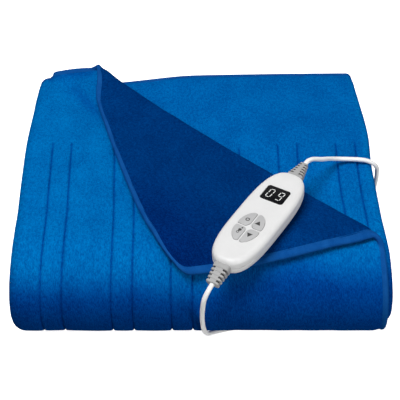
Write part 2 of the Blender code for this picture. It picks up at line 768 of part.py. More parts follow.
def add_leads(upper, lower, parts):
    white = new_material("lead_white", (0.85, 0.85, 0.84), 0.4)
    start, way = tip_of(upper)
    coil_side = COIL_CENTRE[0] + COIL_RADIUS + COIL_THICKNESS / 2 + 2 * GAP
    end = (coil_side, MAINS_END_Y, COIL_THICKNESS / 2)
    mains = (start, start + LEAD_START * way, *MAINS_RUN, end)
    add_lead("mains_lead", mains, white, parts)
    bpy.ops.mesh.primitive_torus_add(
        major_radius=COIL_RADIUS,
        minor_radius=COIL_THICKNESS / 2,
        major_segments=24,
        minor_segments=8,
        location=COIL_CENTRE,
    )
    coil = bpy.context.object
    coil.name = "mains_coil"
    coil.data.materials.append(white)
    for collection in coil.users_collection:
        collection.objects.unlink(coil)
    parts.objects.link(coil)
    tail_x = COIL_CENTRE[0] - COIL_RADIUS - COIL_THICKNESS / 2
    plug_back = (PLUG_CENTRE[0] + PLUG_BODY[0] / 2 + GAP, *PLUG_CENTRE[1:])
    tail = (
        (tail_x - GAP, TAIL_Y, COIL_THICKNESS / 2),
        (tail_x - TAIL_START, TAIL_Y, COIL_THICKNESS / 2),
        *TAIL_RUN,
        plug_back,
    )
    add_lead("mains_tail", tail, white, parts)
    box("plug_body", PLUG_BODY, PLUG_CENTRE, 0.003, white, parts)
    metal = new_material("blade_metal", (0.75, 0.72, 0.65), 0.3, 1.0)
    blade_x = PLUG_CENTRE[0] - PLUG_BODY[0] / 2 - GAP - BLADE[0] / 2
    for side, name in ((-1, "plug_blade_left"), (1, "plug_blade_right")):
        blade_y = PLUG_CENTRE[1] + side * BLADE_APART / 2
        box(name, BLADE, (blade_x, blade_y, PLUG_CENTRE[2]), 0, metal, parts)

    start, way = tip_of(lower)
    front = CONNECTOR_Y - CONNECTOR[1] / 2
    connector_x = bound_edge(CONNECTOR_Y).x + CONNECTOR_CLEAR + CONNECTOR[0] / 2
    bend = (connector_x, *BLANKET_END)
    end = (connector_x, front - GAP, CONNECTOR[2] / 2)
    blanket = (start, start + LEAD_START * way, *BLANKET_RUN, bend, end)
    add_lead("blanket_lead", blanket, white, parts)
    centre = (connector_x, CONNECTOR_Y, CONNECTOR[2] / 2)
    box("blanket_connector", CONNECTOR, centre, 0.002, white, parts)


def main():
    for obj in list(bpy.data.objects):
        bpy.data.objects.remove(obj, do_unlink=True)
    parts = bpy.data.collections.new(OBJECT_NAME)
    cutters = bpy.data.collections.new("cutters")
    for collection in (parts, cutters):
        bpy.context.scene.collection.children.link(collection)
    add_sheet("face_panel", 1, (0.0, 0.14, 0.48), parts)
    add_sheet("back_panel", -1, (0.0, 0.03, 0.17), parts)
    add_binding(parts)
    upper, lower = add_controller(parts, cutters)
    add_leads(upper, lower, parts)
    middle = new_object("stack_middle", None, parts)
    for obj in (*parts.objects, *cutters.objects):
        if obj is not middle and not obj.parent:
            obj.parent = middle
    middle.location = CENTRE_SHIFT
    bpy.context.view_layer.update()


main()
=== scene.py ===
"""The looks of a folded electric heated blanket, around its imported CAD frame.

Metres, +Z up. The cloth is folded by the same mapping as the CAD solids: a place on the flat
blanket is (across, down), from the free edge of the inner flap and from the bound end on top.
Places are measured from the middle of the folded stack, and CENTRE_SHIFT moves them all.
"""

import math
from collections import namedtuple

import bmesh
import bpy
import numpy as np
from mathutils import Euler, Matrix, Vector, noise


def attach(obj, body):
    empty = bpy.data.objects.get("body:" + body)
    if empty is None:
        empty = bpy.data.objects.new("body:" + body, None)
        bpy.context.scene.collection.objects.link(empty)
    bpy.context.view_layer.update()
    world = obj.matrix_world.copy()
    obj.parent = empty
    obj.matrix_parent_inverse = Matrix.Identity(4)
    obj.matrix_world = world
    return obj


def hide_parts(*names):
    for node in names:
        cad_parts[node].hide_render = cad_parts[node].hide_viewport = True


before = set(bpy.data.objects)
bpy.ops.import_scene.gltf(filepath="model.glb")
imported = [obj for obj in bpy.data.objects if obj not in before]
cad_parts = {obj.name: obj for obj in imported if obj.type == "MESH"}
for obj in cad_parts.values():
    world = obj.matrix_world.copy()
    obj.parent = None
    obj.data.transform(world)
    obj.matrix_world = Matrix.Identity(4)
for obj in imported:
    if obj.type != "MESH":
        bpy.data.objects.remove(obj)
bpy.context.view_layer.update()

CENTRE_SHIFT = Vector((-0.0038, 0.0045, 0.0))

# --- the values that the CAD has ---

PLUSH = 0.0037
SHEET_GAP = 0.0003
PLY = 2 * PLUSH + SHEET_GAP
PLY_PITCH = 0.010
PACKET = 2 * PLY_PITCH + PLY
PACKET_PITCH = 3 * PLY_PITCH + 0.0004
STACK_HEIGHT = 3 * PACKET_PITCH + PACKET

LEFT_FOLD_X = -0.1925
RIGHT_FOLD_X = 0.1935
INNER_FLAP_X = -0.1905
OUTER_FLAP_X = 0.196
BACK_Y = 0.200
FRONT_FOLD_Y = -0.1255
BACK_FOLD_Y = 0.1608
INNER_END_Y = 0.186

BINDING_WIDTH = 0.0068
CORNER_RADIUS = 0.026

INNER_CHANNELS_X = (0.0260, 0.0935, 0.1610)
OUTER_CHANNELS_X = (-0.1720, -0.0975, -0.0340)
CHANNEL_WIDTH = 0.0225
CHANNEL_END = 0.160

TURN_ACROSS = 0.7201
TURN_DOWN = 0.6939
TURN_START = -0.0976
TURN_LENGTH = 0.344
TURN_BEND = 0.008
BEND_WIDTH = 0.07
ROLL = 0.0052
ROLL_OPEN = 0.001
TURN_REACH = 0.840
TURN_SLIDE = 0.519
TURN_DEPTH = 0.210
TURN_SETTLE = 0.06
BOW_LEFT = 0.014
BOW_BASE = 0.8
BOW_END = 8
BOW_FROM = 0.04
BOW_FRONT = 0.004
TURN_DROOP = 0.50
DROOP_FROM = 0.05
BACK_LIFT = 0.0155
BACK_DRAW = 0.008
BACK_REACH = 0.035
BACK_SPREAD = (0.050, 0.055)
BACK_FADE = 0.012

BULGE = 0.024
BULGE_TOP = 1.12
BULGE_Y = (0.05, 0.20)
FRONT_SHIFT = 0.0057
FRONT_SPREAD = 0.005
SPREAD_Y = (-0.05, 0.10)
FRONT_SAG = 0.002
SAG_Y = (-0.045, 0.10)
SWELL = (0.011, 0.034)
SWELL_Y = (0.08, 0.085)
BACK_SKEW = 0.03
SKEW_Y = (0.05, 0.15)
SLIP = 0.0034
SLIP_PERIOD = 0.62
PUFF = 0.0095
PUFF_FROM = 0.006
PUFF_OVER = 0.09
WAVE = 0.0012
WAVE_X = (14, 0.6)
WAVE_Y = (11, 0.4)
LEAD_GROOVE = 0.0062
LEAD_GROOVE_Y = -0.147
GROOVE_SIZE = (0.014, 0.022)
GROOVE_X = (-0.03, 0.03)

HOUSING_LENGTH = 0.152
HOUSING_WIDTH = 0.0535
HOUSING_HEIGHT = 0.021
PARTING_HEIGHT = 0.0105
GAP = 0.0003
CONTROLLER_PLACE = (0.0668, -0.1280, 0.1284)
CONTROLLER_HEADING = 32.3
CONTROLLER_NOSE_DOWN = 6.0
DISPLAY_SIZE = (0.0275, 0.0226, 0.0012)
DISPLAY_CORNER = 0.003
DISPLAY_Y = 0.0347
BUTTON_ELLIPSE = (0.0136, 0.0218)
BUTTON_CROSS = 0.0010
BUTTON_Y = -0.0225
BUTTON_STANDS = 0.0008
BUTTON_SEAT = 0.0022
PETAL_CUT = (0.0030, 0.0042)
PETAL_ENDS = (0.975, 0.985)
POCKET_DEPTH = 0.0034
RELIEF_STUB = 0.005
RELIEF_SEAT = 0.003

LEAD = 0.0052
LEAD_START = 0.006
MAINS_RUN = (
    (0.1434, -0.0194, 0.1410),
    (0.1552, -0.0050, 0.1312),
    (0.1666, 0.0026, 0.1254),
    (0.1790, 0.0048, 0.1234),
    (0.1905, 0.0038, 0.1234),
    (0.1990, 0.0030, 0.1222),
    (0.2066, 0.0034, 0.1176),
    (0.2112, 0.0058, 0.1104),
    (0.2128, 0.0105, 0.1010),
    (0.2148, 0.0210, 0.0790),
    (0.2145, 0.0300, 0.0550),
    (0.2150, 0.0390, 0.0330),
    (0.2155, 0.0510, 0.0150),
    (0.2155, 0.0700, 0.0040),
    (0.2155, 0.0920, 0.0030),
    (0.2150, 0.1300, 0.0030),
    (0.2105, 0.1650, 0.0030),
    (0.1975, 0.1935, 0.0030),
    (0.1730, 0.2140, 0.0050),
)
BLANKET_RUN = (
    (0.0075, -0.2185, 0.1110),
    (0.0055, -0.2175, 0.0960),
    (0.0050, -0.2075, 0.0760),
    (0.0053, -0.1965, 0.0560),
    (0.0062, -0.1883, 0.0400),
    (0.0080, -0.1820, 0.0270),
    (0.0115, -0.1745, 0.0162),
    (0.0180, -0.1645, 0.0084),
    (0.0290, -0.1565, 0.0040),
    (0.0450, -0.1520, 0.0032),
    (0.1000, -0.1505, 0.0031),
    (0.1600, -0.1505, 0.0031),
    (0.1860, -0.1515, 0.0031),
    (0.2030, -0.1480, 0.0031),
    (0.2135, -0.1370, 0.0034),
)
BLANKET_END = (-0.112, 0.0036)
COIL_RADIUS = 0.030
COIL_CENTRE = (0.105, 0.2385)
PLUG_BODY = (0.036, 0.025, 0.018)
PLUG_CENTRE = (-0.020, 0.222, 0.009)
CONNECTOR = (0.0200, 0.040, 0.0078)
CONNECTOR_Y = -0.070
CONNECTOR_CLEAR = 0.0014

Leg = namedtuple("Leg", "length radius")

SIDE_RADIUS = PLY_PITCH / 2
INNER_RADIUS = PACKET_PITCH / 2
OUTER_RADIUS = 3 * INNER_RADIUS

THREE_FOLD = (
    Leg(RIGHT_FOLD_X - INNER_FLAP_X, 0),
    Leg(math.pi * SIDE_RADIUS, -SIDE_RADIUS),
    Leg(RIGHT_FOLD_X - LEFT_FOLD_X, 0),
    Leg(math.pi * PLY_PITCH, -PLY_PITCH),
    Leg(OUTER_FLAP_X - LEFT_FOLD_X, 0),
)
FOUR_FOLD = (
    Leg(BACK_Y - FRONT_FOLD_Y, 0),
    Leg(math.pi * OUTER_RADIUS, OUTER_RADIUS),
    Leg(BACK_FOLD_Y - FRONT_FOLD_Y, 0),
    Leg(math.pi * INNER_RADIUS, INNER_RADIUS),
    Leg(BACK_FOLD_Y - FRONT_FOLD_Y, 0),
    Leg(math.pi * INNER_RADIUS, -INNER_RADIUS),
    Leg(INNER_END_Y - FRONT_FOLD_Y, 0),
)
WIDTH = sum(leg.length for leg in THREE_FOLD)
LENGTH = sum(leg.length for leg in FOUR_FOLD)
TOP_PACKET_Z = STACK_HEIGHT - PACKET / 2


def ease(value):
    """0 below 0, 1 above 1, and smooth between."""
    value = min(max(value, 0.0), 1.0)
    return value * value * (3 - 2 * value)


def near(away, reach):
    """1 at no distance, and little beyond the reach."""
    return math.exp(-((away / reach) ** 2))


def turns(count):
    """The angles of that many even steps round a circle."""
    return [2 * math.pi * k / count for k in range(count)]


def squared(value, power):
    """A sine or cosine, flattened so that the circle becomes a rounded box."""
    return math.copysign(abs(value) ** power, value)


# --- the fold, as in the CAD ---


def along(legs, start, angle, distance):
    """The point that far along the legs, and the heading there."""
    x, y = start
    for leg in legs:
        step = min(distance, leg.length)
        if leg.radius:
            turn = step / leg.radius
            x += leg.radius * (math.sin(angle + turn) - math.sin(angle))
            y += leg.radius * (math.cos(angle) - math.cos(angle + turn))
            angle += turn
        else:
            x += step * math.cos(angle)
            y += step * math.sin(angle)
        distance -= step
        if distance <= 0:
            break
    return x, y, angle


def rounded(across, down):
    """The flat place after the blanket's four corners are rounded."""
    near_x = min(across, WIDTH - across)
    near_y = min(down, LENGTH - down)
    if near_x < CORNER_RADIUS and near_y < CORNER_RADIUS:
        from_x = CORNER_RADIUS - near_x
        from_y = CORNER_RADIUS - near_y
        share = max(from_x, from_y) / math.hypot(from_x, from_y)
        shift_x = from_x * (1 - share)
        shift_y = from_y * (1 - share)
        across += shift_x if across < WIDTH / 2 else -shift_x
        down += shift_y if down < LENGTH / 2 else -shift_y
    return across, down


def beyond_turn(x, down):
    """How far a place on the top ply lies beyond the line of the turned corner."""
    return TURN_ACROSS * x - TURN_DOWN * down - TURN_START


def turned(x, down, rise, lift):
    """A place on the outer flap after its corner is rolled over the fold and laid on the stack.

    Also how far the place lies past the roll.
    """
    beyond = beyond_turn(x, down)
    at_back = math.exp(-down / BACK_REACH)
    beside = near(beyond, BACK_SPREAD[beyond > 0])
    up = at_back * beside * ease((x - LEFT_FOLD_X) / BACK_FADE)
    rise += BACK_LIFT * up
    beyond = max(beyond, 0.0)
    radius = ROLL + ROLL_OPEN * at_back
    turn = min(beyond / radius, math.pi)
    laid = max(beyond - math.pi * radius, 0.0)
    part = min(laid / TURN_DEPTH, 1.0)
    free_side = OUTER_FLAP_X - x
    left = free_side / max(free_side + down, 1e-6)
    over = (radius - lift) * math.sin(turn) - beyond - TURN_REACH * laid
    slide = TURN_SLIDE * laid
    x += TURN_ACROSS * over + TURN_DOWN * slide
    down += TURN_ACROSS * slide - TURN_DOWN * over
    bow = BOW_LEFT * (BOW_BASE + part) * left * (1 - part**BOW_END)
    x -= bow * ease(laid / BOW_FROM) + BACK_DRAW * up
    down += BOW_FRONT * 4 * part * (1 - part) * (1 - left)
    rise += radius - (radius - lift) * math.cos(turn)
    rise -= 2 * (radius - ROLL) * ease(laid / TURN_SETTLE)
    bend = TURN_BEND * math.sin(math.pi * min(down / TURN_LENGTH, 1.0))
    bend *= near(beyond_turn(x, down), BEND_WIDTH)
    return x - TURN_ACROSS * bend, down + TURN_DOWN * bend, rise, laid


def from_line(value, line):
    """0 on one side of a line, 1 far on its other side. line is (start, length)."""
    start, length = line
    return ease((value - start) / length)


def settled(x, y, z, down):
    """The swept place as the stack really lies: wider and lower in front, and slightly uneven."""
    height = z / STACK_HEIGHT
    front = ease((BULGE_Y[0] - y) / BULGE_Y[1])
    x = x * (1 + BULGE * front * (1 - BULGE_TOP * height**2)) + FRONT_SHIFT * front
    x *= 1 + SWELL[x > 0] * near(y - SWELL_Y[0], SWELL_Y[1])
    past_top = max(down - FOUR_FOLD[0].length, 0.0)
    x += SLIP * (1 - math.cos(2 * math.pi * past_top / SLIP_PERIOD)) / 2
    y += BACK_SKEW * x * from_line(y, SKEW_Y) * height
    y -= FRONT_SPREAD * ease((SPREAD_Y[0] - y) / SPREAD_Y[1]) * max(1 - height, 0.0) ** 2
    wave = WAVE * math.sin(WAVE_X[0] * x + WAVE_X[1]) * math.sin(WAVE_Y[0] * y + WAVE_Y[1])
    z += height**2 * (wave - FRONT_SAG * ease((SAG_Y[0] - y) / SAG_Y[1]))
    groove = math.exp(-(((y - LEAD_GROOVE_Y) / GROOVE_SIZE[0]) ** 2) - z / GROOVE_SIZE[1])
    z += LEAD_GROOVE * groove * from_line(x, GROOVE_X)
    return Vector((x, y, z))


def place(across, down, lift=0.0):
    """The place in the folded stack of a point on the flat blanket, lifted off its middle."""
    across, down = rounded(across, down)
    x, rise, angle = along(THREE_FOLD, (INNER_FLAP_X, 0), 0, across)
    top = down < FOUR_FOLD[0].length
    laid = 0.0
    if across > WIDTH - THREE_FOLD[-1].length:
        x, down, rise, laid = turned(x, down, rise, lift)
    else:
        uncovered = ease((beyond_turn(x, down) - PUFF_FROM) / PUFF_OVER) if top else 0.0
        rise += PUFF * uncovered * (1 + rise / PLY_PITCH) + lift * math.cos(angle)
        x -= lift * math.sin(angle)
    y, z, heading = along(FOUR_FOLD, (BACK_Y, TOP_PACKET_Z), math.pi, max(down, 0.0))
    y += rise * math.sin(heading) - min(down, 0.0)
    z -= rise * math.cos(heading)
    stiff = (1 - TURN_DROOP) * ease(laid / DROOP_FROM)
    y += (BACK_Y - down - y) * stiff
    z += (TOP_PACKET_Z + rise - z) * stiff
    return settled(x, y, z, down) + CENTRE_SHIFT


# --- materials ---


class Shader:
    """A Principled material and the nodes that feed it."""

    def __init__(self, name, **values):
        self.material = bpy.data.materials.new(name)
        self.material.use_nodes = True
        self.tree = self.material.node_tree
        self.principled = self.tree.nodes["Principled BSDF"]
        for key, value in values.items():
            self.principled.inputs[key.replace("_", " ")].default_value = value

    def node(self, kind, inputs=(), **settings):
        made = self.tree.nodes.new(kind)
        for key, value in settings.items():
            setattr(made, key, value)
        for key, value in dict(inputs).items():
            if isinstance(value, bpy.types.NodeSocket):
                self.tree.links.new(value, made.inputs[key])
            else:
                made.inputs[key].default_value = value
        return made

    def join(self, socket, name):
        self.tree.links.new(socket, self.principled.inputs[name])

    def noise(self, vector, scale=1.0, detail=2.0, roughness=0.5):
        inputs = {"Vector": vector, "Scale": scale, "Detail": detail, "Roughness": roughness}
        return self.node("ShaderNodeTexNoise", inputs).outputs["Fac"]

    def stretched(self, vector, scale):
        made = self.node("ShaderNodeMapping", {"Vector": vector, "Scale": scale})
        return made.outputs["Vector"]

    def maths(self, operation, *values):
        made = self.node("ShaderNodeMath", enumerate(values), operation=operation)
        return made.outputs[0]

    def ramp(self, factor, low, high, middle=None):
        """A colour ramp through its stops, each (position, colour)."""
        made = self.node("ShaderNodeValToRGB", {"Fac": factor})
        stops = made.color_ramp.elements
        for stop, (position, colour) in zip(stops, (low, high)):
            stop.position = position
            stop.color = (*colour, 1)
        if middle:
            stops.new(middle[0]).color = (*middle[1], 1)
        return made.outputs["Color"]

    def shaded(self, colour, name):
        """The colour times the painted shade that the mesh carries under that name."""
        shade = self.node("ShaderNodeAttribute", attribute_name=name).outputs["Vector"]
        made = self.node("ShaderNodeVectorMath", {0: colour, 1: shade}, operation="MULTIPLY")
        return made.outputs["Vector"]

    def between(self, factor, low, high):
        """The factor carried from 0 to 1 into the range low to high."""
        inputs = {"Value": factor, "To Min": low, "To Max": high}
        return self.node("ShaderNodeMapRange", inputs).outputs["Result"]

    def bump(self, height, distance, strength, under=None):
        inputs = {"Height": height, "Distance": distance, "Strength": strength}
        if under:
            inputs["Normal"] = under
        return self.node("ShaderNodeBump", inputs).outputs["Normal"]

    def flat_place(self):
        """The place on the flat cloth, in metres."""
        return self.node("ShaderNodeAttribute", attribute_name="flat_place").outputs["Vector"]

    def object_place(self):
        return self.node("ShaderNodeTexCoord").outputs["Object"]


def plush_material(name, deep, base, light, sheen):
    """Short plush pile: streaks and tufts along the cloth, and softer patches."""
    shader = Shader(
        name,
        Roughness=0.95,
        Sheen_Weight=sheen,
        Sheen_Roughness=0.5,
        Sheen_Tint=(*light, 1),
        Specular_IOR_Level=0.0,
    )
    flat = shader.flat_place()
    streaks = shader.noise(shader.stretched(flat, (880, 420, 1)), 1.0, 3.0, 0.6)
    tufts = shader.noise(shader.stretched(flat, (330, 190, 1)), 1.0, 2.0, 0.6)
    patches = shader.noise(shader.stretched(flat, (34, 22, 1)), 1.0, 3.0, 0.6)
    fine = shader.maths("MULTIPLY", streaks, 0.50)
    middle = shader.maths("MULTIPLY_ADD", tufts, 0.30, fine)
    broad = shader.maths("MULTIPLY_ADD", patches, 0.20, middle)
    colour = shader.ramp(broad, (0.41, deep), (0.59, light), (0.50, base))
    # the pile's colour times the shade painted on the cloth
    shader.join(shader.shaded(colour, "painted_pile_shade"), "Base Color")
    coarse = shader.bump(tufts, 0.0016, 0.7)
    shader.join(shader.bump(streaks, 0.0009, 0.8, coarse), "Normal")
    return shader.material


def tape_material():
    """Smooth woven tape: fine ribs across it and faint wear."""
    shader = Shader("binding_tape", Roughness=0.7, Specular_IOR_Level=0.0)
    flat = shader.flat_place()
    weave = shader.noise(shader.stretched(flat, (900, 900, 1)), 1.0, 2.0, 0.6)
    wear = shader.noise(shader.stretched(flat, (60, 60, 1)), 1.0, 3.0, 0.6)
    tone = shader.maths("MULTIPLY_ADD", wear, 0.6, shader.maths("MULTIPLY", weave, 0.4))
    colour = shader.ramp(tone, (0.36, (0.003, 0.056, 0.235)), (0.66, (0.007, 0.084, 0.305)))
    shader.join(colour, "Base Color")
    shader.join(shader.bump(weave, 0.0003, 0.4), "Normal")
    return shader.material


GLASS_GRAIN = (300.0, 0.00001, 0.05)  # its scale, its depth and the specular level


def plastic_material(name, dark, light, roughness, grain_scale=900.0, depth=0.00004, specular=0.5):
    """Moulded plastic with a fine grain, and a little uneven gloss from handling."""
    shader = Shader(name, Specular_IOR_Level=specular)
    at = shader.object_place()
    grain = shader.noise(at, grain_scale)
    handled = shader.noise(at, 45.0, 3.0, 0.6)
    shader.join(shader.ramp(handled, (0.3, dark), (0.7, light)), "Base Color")
    shader.join(shader.between(handled, *roughness), "Roughness")
    shader.join(shader.bump(grain, depth, 0.5), "Normal")
    return shader.material


def relief_material():
    """Rubber, with shade painted into its slots."""
    shader = Shader("relief_grey", Roughness=0.55)
    uneven = shader.noise(shader.object_place(), 60.0, 3.0, 0.6)
    colour = shader.ramp(uneven, (0.3, (0.29, 0.29, 0.29)), (0.7, (0.34, 0.34, 0.34)))
    # the rubber's colour times the shade painted in the slots
    shader.join(shader.shaded(colour, "painted_slot_shade"), "Base Color")
    return shader.material


def metal_material():
    """Brushed along the blades."""
    shader = Shader("blade_metal", Metallic=1.0)
    at = shader.object_place()
    brushed = shader.noise(shader.stretched(at, (60, 900, 900)), 1.0, 3.0, 0.6)
    colour = shader.ramp(brushed, (0.3, (0.55, 0.5, 0.4)), (0.7, (0.75, 0.72, 0.62)))
    shader.join(colour, "Base Color")
    shader.join(shader.between(brushed, 0.25, 0.42), "Roughness")
    return shader.material


MATERIALS = {
    "plush_face": plush_material(
        "plush_face", (0.0, 0.084, 0.31), (0.0, 0.122, 0.40), (0.0, 0.170, 0.49), 0.10
    ),
    "plush_back": plush_material(
        "plush_back", (0.0, 0.020, 0.112), (0.0, 0.029, 0.150), (0.0, 0.044, 0.200), 0.08
    ),
    "binding_tape": tape_material(),
    "relief_grey": relief_material(),
    "blade_metal": metal_material(),
}
for name, *look in (  # its darker and lighter colour, and the range of its roughness
    ("controller_white", (0.64, 0.64, 0.64), (0.67, 0.67, 0.67), (0.34, 0.46)),
    ("button_grey", (0.38, 0.38, 0.385), (0.42, 0.42, 0.425), (0.45, 0.6)),
    ("symbol_dark", (0.006, 0.006, 0.006), (0.02, 0.02, 0.02), (0.5, 0.6)),
    ("symbol_grey", (0.05, 0.05, 0.05), (0.09, 0.09, 0.09), (0.5, 0.6)),
    ("digit_white", (0.80, 0.80, 0.80), (0.9, 0.9, 0.9), (0.4, 0.5)),
    ("lead_white", (0.80, 0.80, 0.79), (0.86, 0.86, 0.85), (0.35, 0.5)),
    ("display_black", (0.004, 0.004, 0.005), (0.008, 0.008, 0.010), (0.08, 0.16), *GLASS_GRAIN),
):
    MATERIALS[name] = plastic_material(name, *look)


# --- making pieces ---


def in_scene(name, data):
    obj = bpy.data.objects.new(name, data)
    bpy.context.scene.collection.objects.link(obj)
    return obj


def new_piece(name, data, material, body="blanket"):
    obj = in_scene(name, data)
    data.materials.append(MATERIALS[material])
    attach(obj, body)
    return obj


def mesh_from(bm, name, matrix=None):
    bmesh.ops.recalc_face_normals(bm, faces=bm.faces[:])
    mesh = bpy.data.meshes.new(name)
    bm.to_mesh(mesh)
    bm.free()
    if matrix:
        mesh.transform(matrix)
    return mesh


def raised(bm, height):
    """Makes a slab of the flat faces. Returns its upper vertices."""
    risen = bmesh.ops.extrude_face_region(bm, geom=bm.faces[:])["geom"]
    upper = [v for v in risen if isinstance(v, bmesh.types.BMVert)]
    bmesh.ops.translate(bm, verts=upper, vec=(0, 0, height))
    return upper


def shade_edges(obj, degrees):
    """Smooth shading, but for edges sharper than that."""
    obj.data.shade_smooth()
    obj.data.set_sharp_from_angle(angle=math.radians(degrees))


def solid_piece(name, bm, matrix, material, body="blanket", sharp=None):
    """A piece of the bmesh, in that material."""
    obj = new_piece(name, mesh_from(bm, name, matrix), material, body)
    if sharp:
        shade_edges(obj, sharp)
    return obj


def loft(rings, caps=(0, -1), closed=False, bm=None):
    """Faces through rings of points with the same count, and across the rings that caps names."""
    if bm is None:
        bm = bmesh.new()
    made = [[bm.verts.new(point) for point in ring] for ring in rings]
    for this, other in zip(made, [*made[1:], made[0]] if closed else made[1:]):
        for k in range(len(this)):
            after = (k + 1) % len(this)
            bm.faces.new((this[k], this[after], other[after], other[k]))
    for k in caps:
        bm.faces.new(made[k])
    return bm


# --- the camera ---

CAMERA_LENS = 101.61
CAMERA_PLACE = (0.0027, -1.062, 0.905)
CAMERA_TILT = 51.7


def add_camera():
    camera = bpy.data.cameras.new("camera")
    camera.sensor_width = 36
    camera.lens = CAMERA_LENS
    camera.clip_start = 0.01
    obj = in_scene("camera", camera)
    obj.location = Vector(CAMERA_PLACE) + CENTRE_SHIFT
    obj.rotation_euler = (math.radians(CAMERA_TILT), 0, 0)
    bpy.context.scene.camera = obj


add_camera()


# --- the cords ---

CORD_STEP = 0.004
SMOOTH_STEPS = 24  # between two given points of a cord's route
CORD_SEAT = 0.002  # how far a cord starts inside its strain relief


def rotation(about_x, about_z):
    """A turn in degrees, first about X."""
    return Euler((math.radians(about_x), 0, math.radians(about_z))).to_matrix().to_4x4()


CONTROLLER = Matrix.Translation(Vector(CONTROLLER_PLACE) + CENTRE_SHIFT) @ (
    rotation(CONTROLLER_NOSE_DOWN, -CONTROLLER_HEADING)
)


def relief_frame(end, droop):
    """Where a strain relief stands at one end of the housing, as a matrix with +Y along it."""
    at = Matrix.Translation((0, end * (HOUSING_LENGTH / 2 - RELIEF_SEAT), PARTING_HEIGHT))
    return CONTROLLER @ at @ rotation(droop, 0 if end > 0 else 180)


Relief = namedtuple("Relief", "matrix length")

UPPER_RELIEF = Relief(relief_frame(1, 3), 0.028)
LOWER_RELIEF = Relief(relief_frame(-1, -16), 0.0245)


def smooth_line(points):
    """Even points along a smooth curve through the given ones, never below the floor."""
    route = np.array([tuple(p) for p in points])
    chord = np.linalg.norm(np.diff(route, axis=0), axis=1)[:, None]
    slope = np.diff(route, axis=0) / chord
    inner = (slope[:-1] * chord[1:] + slope[1:] * chord[:-1]) / (chord[:-1] + chord[1:])
    tangent = np.vstack([slope[:1], inner, slope[-1:]])
    fine = []
    for k, length in enumerate(chord[:, 0]):
        for t in np.arange(SMOOTH_STEPS) / SMOOTH_STEPS:
            ends = route[k] * (1 + 2 * t) * (1 - t) ** 2 + route[k + 1] * t**2 * (3 - 2 * t)
            bend = tangent[k] * t * (1 - t) ** 2 - tangent[k + 1] * t**2 * (1 - t)
            fine.append(ends + length * bend)
    fine = np.array([*fine, route[-1]])
    fine[:, 2] = np.maximum(fine[:, 2], LEAD / 2)
    run = np.concatenate([[0], np.cumsum(np.linalg.norm(np.diff(fine, axis=0), axis=1))])
    at = np.linspace(0, run[-1], math.ceil(run[-1] / CORD_STEP))
    return [Vector([np.interp(t, run, fine[:, axis]) for axis in range(3)]) for t in at]


def add_cord(name, points):
    curve = bpy.data.curves.new(name, "CURVE")
    curve.dimensions = "3D"
    curve.bevel_depth = LEAD / 2
    curve.bevel_resolution = 4
    curve.use_fill_caps = True
    spline = curve.splines.new("POLY")
    spline.points.add(len(points) - 1)
    for point, co in zip(spline.points, points, strict=True):
        point.co = (*co, 1)
    spline.use_smooth = True
    return new_piece(name, curve, "lead_white")


def shifted(points):
    return [Vector(p) + CENTRE_SHIFT for p in points]


def first_points(relief):
    """A cord's start inside its strain relief, and the point where it leaves it straight out."""
    start = relief.matrix @ Vector((0, relief.length - CORD_SEAT, 0))
    way = (relief.matrix.to_3x3() @ Vector((0, 1, 0))).normalized()
    return [start, start + (CORD_SEAT + LEAD_START) * way]


# all in degrees: where the coil starts, its last turn, its points' spacing, and where in each turn
# it starts to change over to the next
COIL_START, LAST_TURN, COIL_STEP, CHANGE_FROM = 15, 105, 12, 300


def coil_points():
    """Seven turns that lie on and beside each other, in a bundle of two, three and two."""
    apart = LEAD * 1.01
    level = apart * math.sin(math.pi / 3)
    low = LEAD / 2
    section = (
        (apart, low + level),
        (apart / 2, low),
        (-apart / 2, low),
        (-apart, low + level),
        (-apart / 2, low + 2 * level),
        (apart / 2, low + 2 * level),
        (0, low + level),
    )
    points = []
    for turn, (out, high) in enumerate(section):
        last = turn + 1 == len(section)
        next_out, next_high = section[turn if last else turn + 1]
        for angle in np.arange(0, LAST_TURN if last else 360, COIL_STEP):
            share = ease((angle - CHANGE_FROM) / (360 - CHANGE_FROM))
            radius = COIL_RADIUS + out + (next_out - out) * share
            at = math.radians(COIL_START + angle)
            x = COIL_CENTRE[0] + radius * math.cos(at)
            y = COIL_CENTRE[1] + radius * math.sin(at)
            points.append((x, y, high + (next_high - high) * share))
    return points


def add_mains_cord():
    run = (*MAINS_RUN[:-1], (0.1730, 0.2125, 0.0028), (0.1500, 0.2245, 0.0045))
    tail = (
        (0.0640, 0.2490, 0.0090),
        (0.0480, 0.2350, 0.0080),
        (0.0260, 0.2250, 0.0085),
        (PLUG_CENTRE[0] + PLUG_BODY[0] / 2 + 0.012, *PLUG_CENTRE[1:]),
    )
    route = shifted((*run, *coil_points(), *tail))
    points = smooth_line([*first_points(UPPER_RELIEF), *route])
    return add_cord("mains_cord", points), points


def add_blanket_cord():
    edge = place(WIDTH, FOUR_FOLD[0].length + FOUR_FOLD[1].length + CONNECTOR_Y - FRONT_FOLD_Y)
    connector_x = edge.x - CENTRE_SHIFT.x + CONNECTOR_CLEAR + CONNECTOR[0] / 2
    front = CONNECTOR_Y - CONNECTOR[1] / 2
    height = CONNECTOR[2] / 2
    end = (BLANKET_END, (front - 0.008, height), (front + 0.002, height))
    route = shifted((*BLANKET_RUN, *((connector_x, *point) for point in end)))
    points = smooth_line([*first_points(LOWER_RELIEF), *route])
    return add_cord("blanket_cord", points), points, connector_x


mains_cord, mains_line = add_mains_cord()
blanket_cord, blanket_line, CONNECTOR_X = add_blanket_cord()
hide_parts("mains_lead", "mains_coil", "mains_tail")
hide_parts("blanket_lead")


# --- the cloth ---

